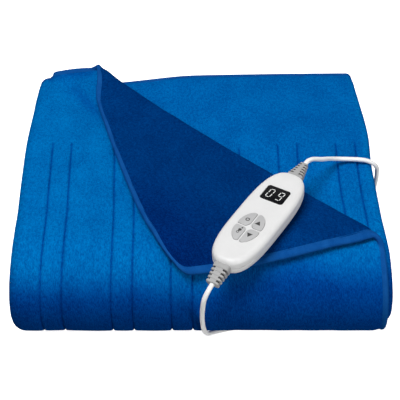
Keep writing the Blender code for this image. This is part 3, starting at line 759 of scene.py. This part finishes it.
SEAT_EDGE = 0.0045  # how far inside the blanket's edge the sheets end, under the tape
SHEET_EDGES = (SEAT_EDGE, BINDING_WIDTH + 0.0002, 0.0098, 0.0125)  # lines of the grid there
CREASE = (0.849, 0.528, -0.0485)  # the line along which a soft crease's shade is painted, on the turned corner's left
CREASE_Y = 0.129
STITCH_MARKS = (-0.007, -0.0035, -0.0016, -0.0007, 0, 0.0007, 0.0016, 0.0035, 0.007)
STITCH_END = 0.003  # how far the stitching runs past the channels' ends
STITCH_HALF = 0.0009
STITCH_DEEP = 0.50  # shares of the pile's height
TAPE_DEEP = 0.42
PILE_UNEVEN = 0.16
STITCH_DARK = 0.46  # how much shade is painted on the pile in these places, on the front partly for its lie
FRONT_DARK = 0.57
CREASE_DARK = 0.30
RAISED_DARK = 0.30
TIP_DARK = 0.42
ACROSS_STEPS = (0.0075, 0.0020, 0.020, 0.0026, 0.0048)  # on each leg of THREE_FOLD
DOWN_STEPS = (0.0050, 0.0044, 0.0100, 0.0060, 0.0200, 0.0060, 0.0200)  # and of FOUR_FOLD
EDGE_STEP = 0.0045
SHADE_POWERS = (1.0, 1.25, 0.6)  # shaded pile looks bluer: red, green and blue
TURNED_END = 0.45  # the turned corner lies nearer the bound end than this


def filled(marks, step_at):
    """The marks in order, with even lines between them that are step_at(place) apart at most."""
    marks = sorted(marks)
    lines = [marks[0]]
    for before, after in zip(marks, marks[1:]):
        if after - before < 1e-5:
            continue
        count = max(round((after - before) / step_at((before + after) / 2)), 1)
        lines += [before + (after - before) * (k + 1) / count for k in range(count)]
    return lines


STITCH_LINES = [x - INNER_FLAP_X for x in INNER_CHANNELS_X]
STITCH_LINES += [WIDTH - (OUTER_FLAP_X - x) for x in OUTER_CHANNELS_X]
STITCH_LINES += [start + CHANNEL_WIDTH for start in STITCH_LINES]
ACROSS_ENDS = np.cumsum([leg.length for leg in THREE_FOLD])
DOWN_ENDS = np.cumsum([leg.length for leg in FOUR_FOLD])


def step_of(ends, steps, shown, fine):
    """Gives the grid's step at a place: its leg's own, times fine on the leg that shows."""

    def step(at):
        leg = min(int(np.searchsorted(ends, at)), len(steps) - 1)
        return steps[leg] * (fine if leg == shown else 1)

    return step


def flat_grid(edges, fine, stitched):
    """The flat cloth as a grid. edges are lines near each edge, as distances from it."""
    round_steps = [CORNER_RADIUS - k * EDGE_STEP for k in range(4)]
    beside = [*edges, *[e for e in round_steps if e > edges[-1] + 0.001]]
    across_marks = [*beside, *[WIDTH - e for e in beside], *ACROSS_ENDS[:4]]
    down_marks = [*beside, *[LENGTH - e for e in beside], *DOWN_ENDS[:6]]
    if stitched:
        across_marks += [line + mark for line in STITCH_LINES for mark in STITCH_MARKS]
        down_marks += [CHANNEL_END - STITCH_END, CHANNEL_END, LENGTH - CHANNEL_END]
    across = filled(across_marks, step_of(ACROSS_ENDS, ACROSS_STEPS, 4, fine))
    down = filled(down_marks, step_of(DOWN_ENDS, DOWN_STEPS, 0, fine))
    bm = bmesh.new()
    cells = (len(across) - 1, len(down) - 1)
    bmesh.ops.create_grid(bm, x_segments=cells[0], y_segments=cells[1], size=0.5)
    for vert in bm.verts:
        column = round((vert.co.x + 0.5) * cells[0])
        row = round((0.5 - vert.co.y) * cells[1])
        vert.co = (across[column], -down[row], 0)
    return bm


def carry(mesh, name, values):
    """The mesh carries three values for each vertex under that name."""
    mesh.attributes.new(name, "FLOAT_VECTOR", "POINT").data.foreach_set("vector", values)


def cut_turned_corner(bm):
    """Cuts the grid along the rolled corner's fold."""
    flap_start = ACROSS_ENDS[3]
    slant = Vector((TURN_ACROSS, TURN_DOWN, 0))
    for beyond in np.linspace(-0.003, 1.35 * math.pi * ROLL, 13):
        down = (TURN_ACROSS * OUTER_FLAP_X - TURN_START - beyond) / TURN_DOWN
        top = [f for f in bm.faces if f.calc_center_median().x > flap_start]
        top = [f for f in top if -f.calc_center_median().y < TURNED_END]
        bmesh.ops.bisect_plane(
            bm,
            geom=[*top, *{e for f in top for e in f.edges}, *{v for f in top for v in f.verts}],
            dist=0.0003,
            plane_co=(WIDTH, -down, 0),
            plane_no=slant,
        )


def folded_cloth(name, bm, lifts, slot, shade_of=None):
    """Makes a slab of the flat grid and folds it up.

    lifts gives the slab's two faces at a flat place, and shade_of the shade painted on its pile
    there.
    """
    bmesh.ops.triangulate(bm, faces=bm.faces[:])
    upper = set(raised(bm, PLUSH))
    bmesh.ops.recalc_face_normals(bm, faces=bm.faces[:])
    flat = []
    shades = []
    for vert in bm.verts:
        across = vert.co.x
        down = -vert.co.y
        low, high = lifts(across, down)
        flat += [across, down, 0.0 if vert in upper else 1.0]
        vert.co = place(across, down, high if vert in upper else low)
        shade = shade_of(across, down, vert.co) if shade_of else 1.0
        shades += [shade**power for power in SHADE_POWERS]
    mesh = bpy.data.meshes.new(name)
    bm.to_mesh(mesh)
    bm.free()
    carry(mesh, "flat_place", flat)
    # the shade painted on the pile
    carry(mesh, "painted_pile_shade", shades)
    mesh.shade_smooth()
    return new_piece(name, mesh, slot)


def edge_distance(across, down):
    return min(across, WIDTH - across, down, LENGTH - down)


def uneven(x, y, layer):
    """Smooth noise, from -1 to 1, that is the same each run."""
    return noise.noise(Vector((x, y, layer)))


def from_stitching(across, down):
    """The distance to the nearest line of stitching, or a long one where there is none."""
    if not CHANNEL_END - STITCH_END < down < LENGTH - CHANNEL_END + STITCH_END:
        return 1.0
    return min(abs(across - line) for line in STITCH_LINES)


def front_shade(x, z, down):
    """Shade painted on the lower front, partly for the pile's lie there. Its upper border wanders.
    """
    if not DOWN_ENDS[0] < down < DOWN_ENDS[1]:
        return 1.0
    wander = uneven(x * 9, 0.3, 4.1) + 0.4 * uneven(x * 31, z * 20, 2.2)
    height = z / STACK_HEIGHT + 0.10 * wander
    start = 0.90 + 0.16 * ease((x + 0.02) / 0.10)
    return 1 - FRONT_DARK * ease((start - height) / 0.34)


def face_shade(across, down, at):
    """How much shade is painted on the face sheet's pile at a place.

    Shade is painted on the lower front, partly for the pile's lie, on the stitching, and left of
    the turned corner in the crease and under the raised back end. Right of it, darker towards the
    back.
    """
    x, y, z = at - CENTRE_SHIFT
    on_top = down < DOWN_ENDS[0]
    # painted shade on the lower front, partly for the pile's lie
    shade = front_shade(x, z, down)
    # painted shade along the stitching's grooves, weaker where the front is already shaded
    wander = 0.0006 * uneven(across * 3, down * 24, 0.4)
    shade *= 1 - STITCH_DARK * shade * near(from_stitching(across + wander, down), STITCH_HALF)
    if on_top and across < ACROSS_ENDS[0]:
        shade *= 0.86 + 0.10 * ease((0.05 - y) / 0.12)
    if on_top and across > ACROSS_ENDS[3] and z > 0.09:
        # painted shade of a soft crease
        crease = CREASE[0] * x + CREASE[1] * y - CREASE[2]
        shade *= 1 - CREASE_DARK * near(crease, 0.009) * near(y - CREASE_Y, 0.040)
        # painted shadow under the raised back end
        at_back = ease((y - BACK_Y + 0.028) / 0.014) * ease((-x - 0.125) / 0.02)
        shade *= 1 - RAISED_DARK * at_back
    return shade


def back_shade(across, down, at):
    """Shade painted on the navy sheet: towards the turned corner's tip, partly for its pile's lie,
    and along the stitching.
    """
    tip = math.hypot(WIDTH - across, down)
    # painted shade towards the turned corner's tip, partly for the pile's lie
    shade = 1 - TIP_DARK * ease((0.16 - tip) / 0.15) if across > ACROSS_ENDS[3] else 1.0
    # painted shade along the stitching's grooves
    return shade * (1 - 0.35 * near(from_stitching(across, down), 0.0013))


def pile_height(across, down):
    """The plush sheet's height as a share: low on the stitching and against the tape."""
    away = from_stitching(across, down)
    past_tape = max(edge_distance(across, down) - BINDING_WIDTH, 0)
    height = 1 - STITCH_DEEP * near(away, STITCH_HALF) - 0.12 * math.exp(-away / 0.0030)
    height -= TAPE_DEEP * near(past_tape, 0.0035)
    return height + PILE_UNEVEN * uneven(across * 38, down * 26, 1.7)


def add_sheet(name, side, fine, slot):
    """One plush sheet. side is 1 for the face and -1 for the back."""
    bm = flat_grid(SHEET_EDGES, fine, side > 0)
    cut_turned_corner(bm)

    def lifts(across, down):
        inner = side * SHEET_GAP / 2
        outer = inner + side * PLUSH * pile_height(across, down)
        return min(inner, outer), max(inner, outer)

    return folded_cloth(name, bm, lifts, slot, face_shade if side > 0 else back_shade)


TAPE_PROFILE = (  # (distance from the edge, share of the half thickness)
    (0, 0.20),
    (0.0005, 0.58),
    (0.0014, 0.86),
    (0.0028, 1.0),
    (0.0044, 0.97),
    (0.0056, 0.74),
    (0.0062, 0.84),
    (0.0068, 0.55),
)
TAPE_HALF = 0.0031


def add_tape():
    """The binding: full over the edge, drawn in along its own line of stitching."""
    distances, heights = zip(*TAPE_PROFILE)
    bm = flat_grid(distances, 1.0, False)
    middles = [(face, face.calc_center_median()) for face in bm.faces]
    inside = [face for face, at in middles if edge_distance(at.x, -at.y) > BINDING_WIDTH]
    bmesh.ops.delete(bm, geom=inside, context="FACES")
    cut_turned_corner(bm)

    def lifts(across, down):
        half = TAPE_HALF * float(np.interp(edge_distance(across, down), distances, heights))
        return -half, half

    return folded_cloth("edge_tape", bm, lifts, "binding_tape")


face_sheet = add_sheet("face_sheet", 1, 1.0, "plush_face")
back_sheet = add_sheet("back_sheet", -1, 1.1, "plush_back")
edge_tape = add_tape()
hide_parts("face_panel")
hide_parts("back_panel")
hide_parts("edge_binding")


# --- the controller ---

HOUSING_TURNS = 96  # points round the housing
HOUSING_POWERS = (2 / 2.8, 2 / 3.2)  # its sides are flatter than its ends
UNDER_RIM = (0.0070, -0.0080, 8)  # width, height and steps
UPPER_RIM = (0.0058, 0.0062, 9)
CHAMFER = (0.0004, 0.0005)  # along the parting line
PETAL_ARC = (78, 12, 22)  # degrees, and points
PETAL_ROUND = 0.0009
SYMBOL_THICK = 0.00012
BUTTONS = (("power", -1, 1), ("warmer", 1, 1), ("timer", -1, -1), ("cooler", 1, -1))


def housing_ring(inset, z):
    """The housing's outline, drawn in by inset."""
    wide = HOUSING_WIDTH / 2 - inset
    long = HOUSING_LENGTH / 2 - inset
    at, up = HOUSING_POWERS
    return [
        (wide * squared(math.cos(a), at), long * squared(math.sin(a), up), z)
        for a in turns(HOUSING_TURNS)
    ]


def rounded_rim(flat, wide, high, steps):
    """(inset, z) round a rim, from the side to the flat. high is below 0 for one underneath."""
    angles = [math.pi / 2 * k / steps for k in range(steps + 1)]
    return [(wide * (1 - math.cos(a)), flat - high * (1 - math.sin(a))) for a in angles]


def prism(outline, bottom, top, rounding=0.0):
    bm = bmesh.new()
    bm.faces.new([bm.verts.new((x, y, bottom)) for x, y in outline])
    raised(bm, top - bottom)
    if rounding:
        rim = [e for e in bm.edges if all(abs(v.co.z - top) < 1e-7 for v in e.verts)]
        bmesh.ops.bevel(bm, geom=rim, offset=rounding, segments=3, affect="EDGES", profile=0.5)
    return bm


def display_outline(grow):
    """The display's outline, each corner of which is a quarter circle."""
    radius = DISPLAY_CORNER + grow
    width = DISPLAY_SIZE[0] + 2 * grow
    length = DISPLAY_SIZE[1] + 2 * grow
    points = []
    for corner, (side_x, side_y) in enumerate(((1, 1), (-1, 1), (-1, -1), (1, -1))):
        for k in range(10):
            angle = (corner + k / 9) * math.pi / 2
            x = side_x * (width / 2 - radius) + radius * math.cos(angle)
            y = side_y * (length / 2 - radius) + radius * math.sin(angle)
            points.append((x, y + DISPLAY_Y))
    return points


def petal_outline(side_x, side_y, grow):
    """A quarter of the buttons' ellipse, with its corners rounded off."""
    half_x = BUTTON_ELLIPSE[0] + grow
    half_y = BUTTON_ELLIPSE[1] + grow
    inner = BUTTON_CROSS - grow
    points = [(inner + PETAL_CUT[0], inner), (inner, inner + PETAL_CUT[1])]
    angles = np.radians(np.linspace(*PETAL_ARC))
    arc = [
        (half_x * math.cos(a) + BUTTON_CROSS, half_y * math.sin(a) + BUTTON_CROSS) for a in angles
    ]
    points += [(inner, arc[0][1] * PETAL_ENDS[0]), *arc, (arc[-1][0] * PETAL_ENDS[1], inner)]
    points = [(side_x * x, side_y * y + BUTTON_Y) for x, y in points]
    for _ in range(2):
        points = corners_cut(points, PETAL_ROUND)
    return points


def corners_cut(points, most):
    """The outline with each corner cut off, up to that far along its sides."""
    cut_points = []
    for (ax, ay), (bx, by) in zip(points, [*points[1:], points[0]]):
        share = min(0.25, most / math.hypot(bx - ax, by - ay))
        cut_points.append((ax + (bx - ax) * share, ay + (by - ay) * share))
        cut_points.append((bx + (ax - bx) * share, by + (ay - by) * share))
    return cut_points


def cut_pockets(obj, pockets):
    """Cuts pockets into the housing's cover. Each is (outline, bottom)."""
    cutters = []
    for outline, bottom in pockets:
        mesh = mesh_from(prism(outline, bottom, HOUSING_HEIGHT + 0.004), "pocket", CONTROLLER)
        cutters.append(in_scene("pocket", mesh))
        boolean = obj.modifiers.new("pocket", "BOOLEAN")
        boolean.operation = "DIFFERENCE"
        boolean.object = cutters[-1]
        boolean.solver = "EXACT"
    graph = bpy.context.evaluated_depsgraph_get()
    mesh = bpy.data.meshes.new_from_object(obj.evaluated_get(graph))
    obj.modifiers.clear()
    obj.data = mesh
    for cutter in cutters:
        bpy.data.objects.remove(cutter, do_unlink=True)


def add_shell(name, rows):
    bm = loft([housing_ring(*row) for row in rows])
    return solid_piece("housing_" + name, bm, CONTROLLER, "controller_white")


def add_housing():
    top = HOUSING_HEIGHT
    half = PARTING_HEIGHT - GAP / 2
    low = PARTING_HEIGHT + GAP / 2
    base = [(0.016, 0), *rounded_rim(0, *UNDER_RIM)[::-1], (0, half - CHAMFER[1])]
    cover = [(CHAMFER[0], low), (0, low + CHAMFER[1]), *rounded_rim(top, *UPPER_RIM)]
    base.append((CHAMFER[0], half))
    cover += [(0.010, top), (0.016, top)]
    shell_base = add_shell("base", base)
    shell_cover = add_shell("cover", cover)
    keys = [(petal_outline(*sides, GAP), top - POCKET_DEPTH) for _, *sides in BUTTONS]
    cut_pockets(shell_cover, [(display_outline(GAP), top - DISPLAY_SIZE[2] - GAP), *keys])
    shade_edges(shell_base, 35)
    shade_edges(shell_cover, 35)
    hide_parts("controller_base")
    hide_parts("controller_cover")


SEGMENTS = {  # the bars of a numeral: from, to, on a grid one wide and two high
    "a": ((0, 2), (1, 2)),
    "b": ((1, 2), (1, 1)),
    "c": ((1, 1), (1, 0)),
    "d": ((0, 0), (1, 0)),
    "e": ((0, 1), (0, 0)),
    "f": ((0, 2), (0, 1)),
    "g": ((0, 1), (1, 1)),
}
NUMERALS = (("abcdef", -0.0060), ("abcdfg", 0.0060))  # 0 and 9, and their middles
NUMERAL_STEP = (0.0052, 0.0062)
NUMERAL_SLANT = 0.12
BAR = 0.00085


def add_numerals():
    """Slanted bars with pointed ends."""
    bm = bmesh.new()
    for bars, centre in NUMERALS:
        for key in bars:
            start, end = (
                Vector(((x - 0.5) * NUMERAL_STEP[0], (y - 1) * NUMERAL_STEP[1], 0))
                for x, y in SEGMENTS[key]
            )
            way = (end - start).normalized() * BAR
            side = Vector((-way.y, way.x, 0)) / 2
            start += way * 1.1
            end -= way * 1.1
            flat = (start - way / 2, start + side, end + side)
            flat += (end + way / 2, end - side, start - side)
            flat = [(p.x + NUMERAL_SLANT * p.y + centre, p.y + DISPLAY_Y) for p in flat]
            rises = (HOUSING_HEIGHT - 0.00005, HOUSING_HEIGHT + 0.00006)
            loft([[(*point, z) for point in flat] for z in rises], bm=bm)
    solid_piece("display_numerals", bm, CONTROLLER, "digit_white")


def add_display():
    bm = prism(display_outline(0), HOUSING_HEIGHT - DISPLAY_SIZE[2], HOUSING_HEIGHT, 0.0002)
    window = solid_piece("display_glass", bm, CONTROLLER, "display_black", sharp=50)
    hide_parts("display_window")
    add_numerals()


def circle(x, y, radius, count, heading=0.0):
    """Even points round a circle, the first at that heading in degrees."""
    angles = [math.radians(heading) + a for a in turns(count)]
    return [(x + radius * math.cos(a), y + radius * math.sin(a)) for a in angles]


# each symbol's shapes: the middle from the buttons' own, the radius, the count of corners, the
# first one's heading, and the hole's radius
SYMBOLS = {
    "power": ((-0.0066, 0.0096, 0.0025, 28, 0, 0.0013),),
    "warmer": ((0.0064, 0.0092, 0.0038, 3, -151, 0),),
    "cooler": ((0.0064, -0.0094, 0.0038, 3, 29, 0),),
    "timer": (
        (-0.0060, -0.0076, 0.0019, 20, 0, 0),
        (-0.0050, -0.0042, 0.0010, 20, 0, 0),
        (-0.0066, -0.0112, 0.0017, 28, 0, 0.0010),
    ),
}


def add_symbols(z):
    for name, shapes in SYMBOLS.items():
        bm = bmesh.new()
        for x, y, radius, count, heading, hole in shapes:
            radii = (radius, hole) if hole else (radius,)
            rims = [circle(x, y + BUTTON_Y, r, count, heading) for r in radii]
            rings = [[(*point, z) for point in rim] for rim in rims]
            loft(rings, () if hole else (0,), bm=bm)
        raised(bm, SYMBOL_THICK)
        material = "symbol_grey" if name == "power" else "symbol_dark"
        solid_piece("symbol_" + name, bm, CONTROLLER, material, "key_" + name)


def add_buttons():
    top = HOUSING_HEIGHT + BUTTON_STANDS
    for name, *sides in BUTTONS:
        bm = prism(petal_outline(*sides, 0), HOUSING_HEIGHT - BUTTON_SEAT, top, 0.0004)
        key = solid_piece(
            "key_top_" + name, bm, CONTROLLER, "button_grey", body="key_" + name, sharp=50
        )
        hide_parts("button_" + name)
    add_symbols(top - SYMBOL_THICK / 2)


RELIEF_POWER = 0.42
SLOT_DEEP = 0.34
# how much shade is painted in the slots
SLOT_DARK = 0.88
RELIEF_NECK = ((-RELIEF_STUB, 0.86), (0.0, 0.86), (0.0008, 0.97), (0.0014, 1))  # (at, share)
RELIEF_RIB = ((0.04, 0), (0.08, 1), (0.44, 1), (0.48, 0), (0.94, 0))  # (share of a pitch, slot)


def relief_rows(length, base, tip, ribs):
    """(distance, width, height, slot) of a relief: a neck, ribs between slots, and a collar."""
    neck = 0.28 * length
    pitch = (length - neck) / ribs
    rows = [(at, share * base[0], share * base[1], 0) for at, share in RELIEF_NECK]
    rows.append((neck - 0.0003, *base, 0))
    for k in range(ribs):
        size = [wide + (narrow - wide) * (k + 1) / ribs for wide, narrow in zip(base, tip)]
        rows += [(neck + (k + part) * pitch, *size, slot) for part, slot in RELIEF_RIB]
    return [*rows, (length, tip[0] * 0.93, tip[1] * 0.93, 0)]


def add_relief(name, node, relief, base, tip, ribs, spine):
    """A strain relief whose slots stop at a spine along its top and its underside."""
    rings = []
    shades = []
    for distance, width, height, slot in relief_rows(relief.length, base, tip, ribs):
        ring = []
        for angle in turns(64):
            cos = math.cos(angle)
            sin = math.sin(angle)
            depth = slot * ease((abs(cos) - spine) / 0.08)
            share = (1 - SLOT_DEEP * depth) / 2
            x = width * squared(cos, RELIEF_POWER) * share
            z = height * squared(sin, RELIEF_POWER) * share
            ring.append((x, distance, z))
            # painted shade in the slots
            shades += [1 - SLOT_DARK * depth] * 3
        rings.append(ring)
    obj = solid_piece(name, loft(rings), relief.matrix, "relief_grey", sharp=40)
    carry(obj.data, "painted_slot_shade", shades)
    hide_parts(node)


add_housing()
add_display()
add_buttons()
# width and height at the base and the tip, the count of ribs, and the spine's share of the width
UPPER_SHAPE = ((0.0185, 0.0115), (0.0092, 0.0080), 5, 0.10)
LOWER_SHAPE = ((0.0185, 0.0125), (0.0145, 0.0092), 4, 0.22)
add_relief("mains_relief", "relief_mains", UPPER_RELIEF, *UPPER_SHAPE)
add_relief("blanket_relief", "relief_blanket", LOWER_RELIEF, *LOWER_SHAPE)


# --- the plug and the connector ---


def rounded_bar(rows, width, height, sides=32, power=0.45):
    """A bar along +X through its rows (distance, share of the width, share of the height)."""
    rings = []
    for distance, wide, high in rows:
        y = wide * width / 2
        z = high * height / 2
        points = [(squared(math.cos(a), power), squared(math.sin(a), power)) for a in turns(sides)]
        rings.append([(distance, y * across, z * up) for across, up in points])
    return loft(rings)


def add_plug():
    length, width, height = PLUG_BODY
    end = length / 2
    rows = (
        (-end, 0.80, 0.80),
        (-end + 0.0008, 0.95, 0.95),
        (-end + 0.0025, 1, 1),
        (-0.002, 1, 1),
        (0.001, 0.93, 0.95),
        (0.007, 0.74, 0.86),
        (0.009, 0.66, 0.80),
        (end - 0.004, 0.50, 0.66),
        (end - 0.001, 0.44, 0.60),
        (end, 0.36, 0.50),
    )
    at = Matrix.Translation(Vector(PLUG_CENTRE) + CENTRE_SHIFT)
    body = solid_piece("plug", rounded_bar(rows, width, height), at, "lead_white", sharp=40)
    neck = [(end - 0.0015, 0.0100, 0.0094)]
    for k in range(5):
        start = end + k * 0.0026
        wide = 0.0098 - 0.0005 * k
        slot = (wide - 0.0012, wide - 0.0016)
        rib = (wide, wide - 0.0004)
        neck += [(start, *slot), (start + 0.0009, *slot)]
        neck += [(start + 0.0012, *rib), (start + 0.0024, *rib)]
    bm = rounded_bar(neck, 1, 1, 24, 0.9)
    sleeve = solid_piece("plug_sleeve", bm, at, "lead_white", sharp=40)
    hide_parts("plug_body")
    return [body, sleeve]


def add_connector():
    width, length, height = CONNECTOR
    end = length / 2
    rows = (
        (-end, 0.50, 0.80),
        (-end + 0.001, 0.56, 0.92),
        (-end + 0.008, 0.62, 1),
        (-end + 0.011, 0.92, 1),
        (-end + 0.0125, 1, 1),
        (end - 0.006, 1, 1),
        (end - 0.0055, 0.95, 0.92),
        (end - 0.0048, 0.95, 0.92),
        (end - 0.0043, 1, 1),
        (end - 0.001, 1, 1),
        (end, 0.92, 0.86),
    )
    at = Matrix.Translation(Vector((CONNECTOR_X, CONNECTOR_Y, height / 2)) + CENTRE_SHIFT)
    at = at @ Matrix.Rotation(math.pi / 2, 4, "Z")
    obj = solid_piece("connector", rounded_bar(rows, width, height), at, "lead_white", sharp=40)
    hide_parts("blanket_connector")
    return obj


TIE_HALF = (0.003, 0.0086, 0.0079)  # half its width, and half its loop's width and height
TIE_Z = 0.0072


def add_tie():
    """The band that holds the coil."""
    middle = Vector((COIL_CENTRE[0], COIL_CENTRE[1] - COIL_RADIUS, TIE_Z)) + CENTRE_SHIFT
    half, wide, high = TIE_HALF
    rings = []
    for a in turns(24):
        ring = []
        for x, thick in ((-half, 0.9995), (half, 0.9995), (half, 1.07), (-half, 1.07)):
            z = max(high * math.sin(a) * thick, 0.0002 - TIE_Z)
            ring.append(middle + Vector((x, wide * math.cos(a) * thick, z)))
        rings.append(ring)
    return solid_piece("coil_tie", loft(rings, (), closed=True), None, "lead_white", sharp=40)


plug_pieces = add_plug()
connector = add_connector()
tie = add_tie()
for blade in ("plug_blade_left", "plug_blade_right"):
    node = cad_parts[blade]
    node.data.materials.clear()
    node.data.materials.append(MATERIALS["blade_metal"])


# --- the floor and the light ---

FLOOR_Z = -0.0002
LIGHT_AIM = (0, 0, 0.05)
LIGHTS = (  # name, place, size, power
    ("key", (-0.65, -0.75, 2.6), (1.3, 1.3), 58),
    ("top", (-0.1, 0.1, 2.6), (2.0, 1.4), 14),
    ("fill", (1.5, -1.9, 0.55), (1.0, 0.8), 20),
)
WORLD_STRENGTH = 0.20


def add_stage():
    """A white floor that turns up into a wall all round. It glows, so that it shows pure white."""
    profile = [(0.001, 0.0), (0.8, 0.0), (2.5, 0.0), (5.0, 0.0)]
    profile += [(5 + 2 * math.sin(a), 2 - 2 * math.cos(a)) for a in np.radians(range(10, 91, 10))]
    profile += [(7.0, 9.0)]
    rings = [[(*point, z) for point in circle(0, 0, radius, 48)] for radius, z in profile]
    mesh = mesh_from(loft(rings, (0,)), "stage")
    mesh.shade_smooth()
    shader = Shader(
        "stage_white",
        Roughness=0.9,
        Specular_IOR_Level=0.0,
        Base_Color=(0.9, 0.9, 0.9, 1),
        Emission_Color=(1, 1, 1, 1),
        Emission_Strength=0.92,
    )
    stage = in_scene("stage", mesh)
    mesh.materials.append(shader.material)
    stage.location = (0, 0, FLOOR_Z)
    stage.visible_diffuse = False


def add_light(name, location, size, energy):
    light = bpy.data.lights.new(name, "AREA")
    light.shape = "RECTANGLE"
    light.size, light.size_y = size
    light.energy = energy
    obj = in_scene(name, light)
    obj.location = location
    way = Vector(LIGHT_AIM) - Vector(location)
    obj.rotation_euler = way.to_track_quat("-Z", "Y").to_euler()


def add_world():
    world = bpy.data.worlds.new("studio")
    world.use_nodes = True
    background = world.node_tree.nodes["Background"]
    background.inputs["Color"].default_value = (1, 1, 1, 1)
    background.inputs["Strength"].default_value = WORLD_STRENGTH
    bpy.context.scene.world = world


add_stage()
add_world()
for light in LIGHTS:
    add_light(*light)
bpy.context.scene.view_settings.view_transform = "Standard"
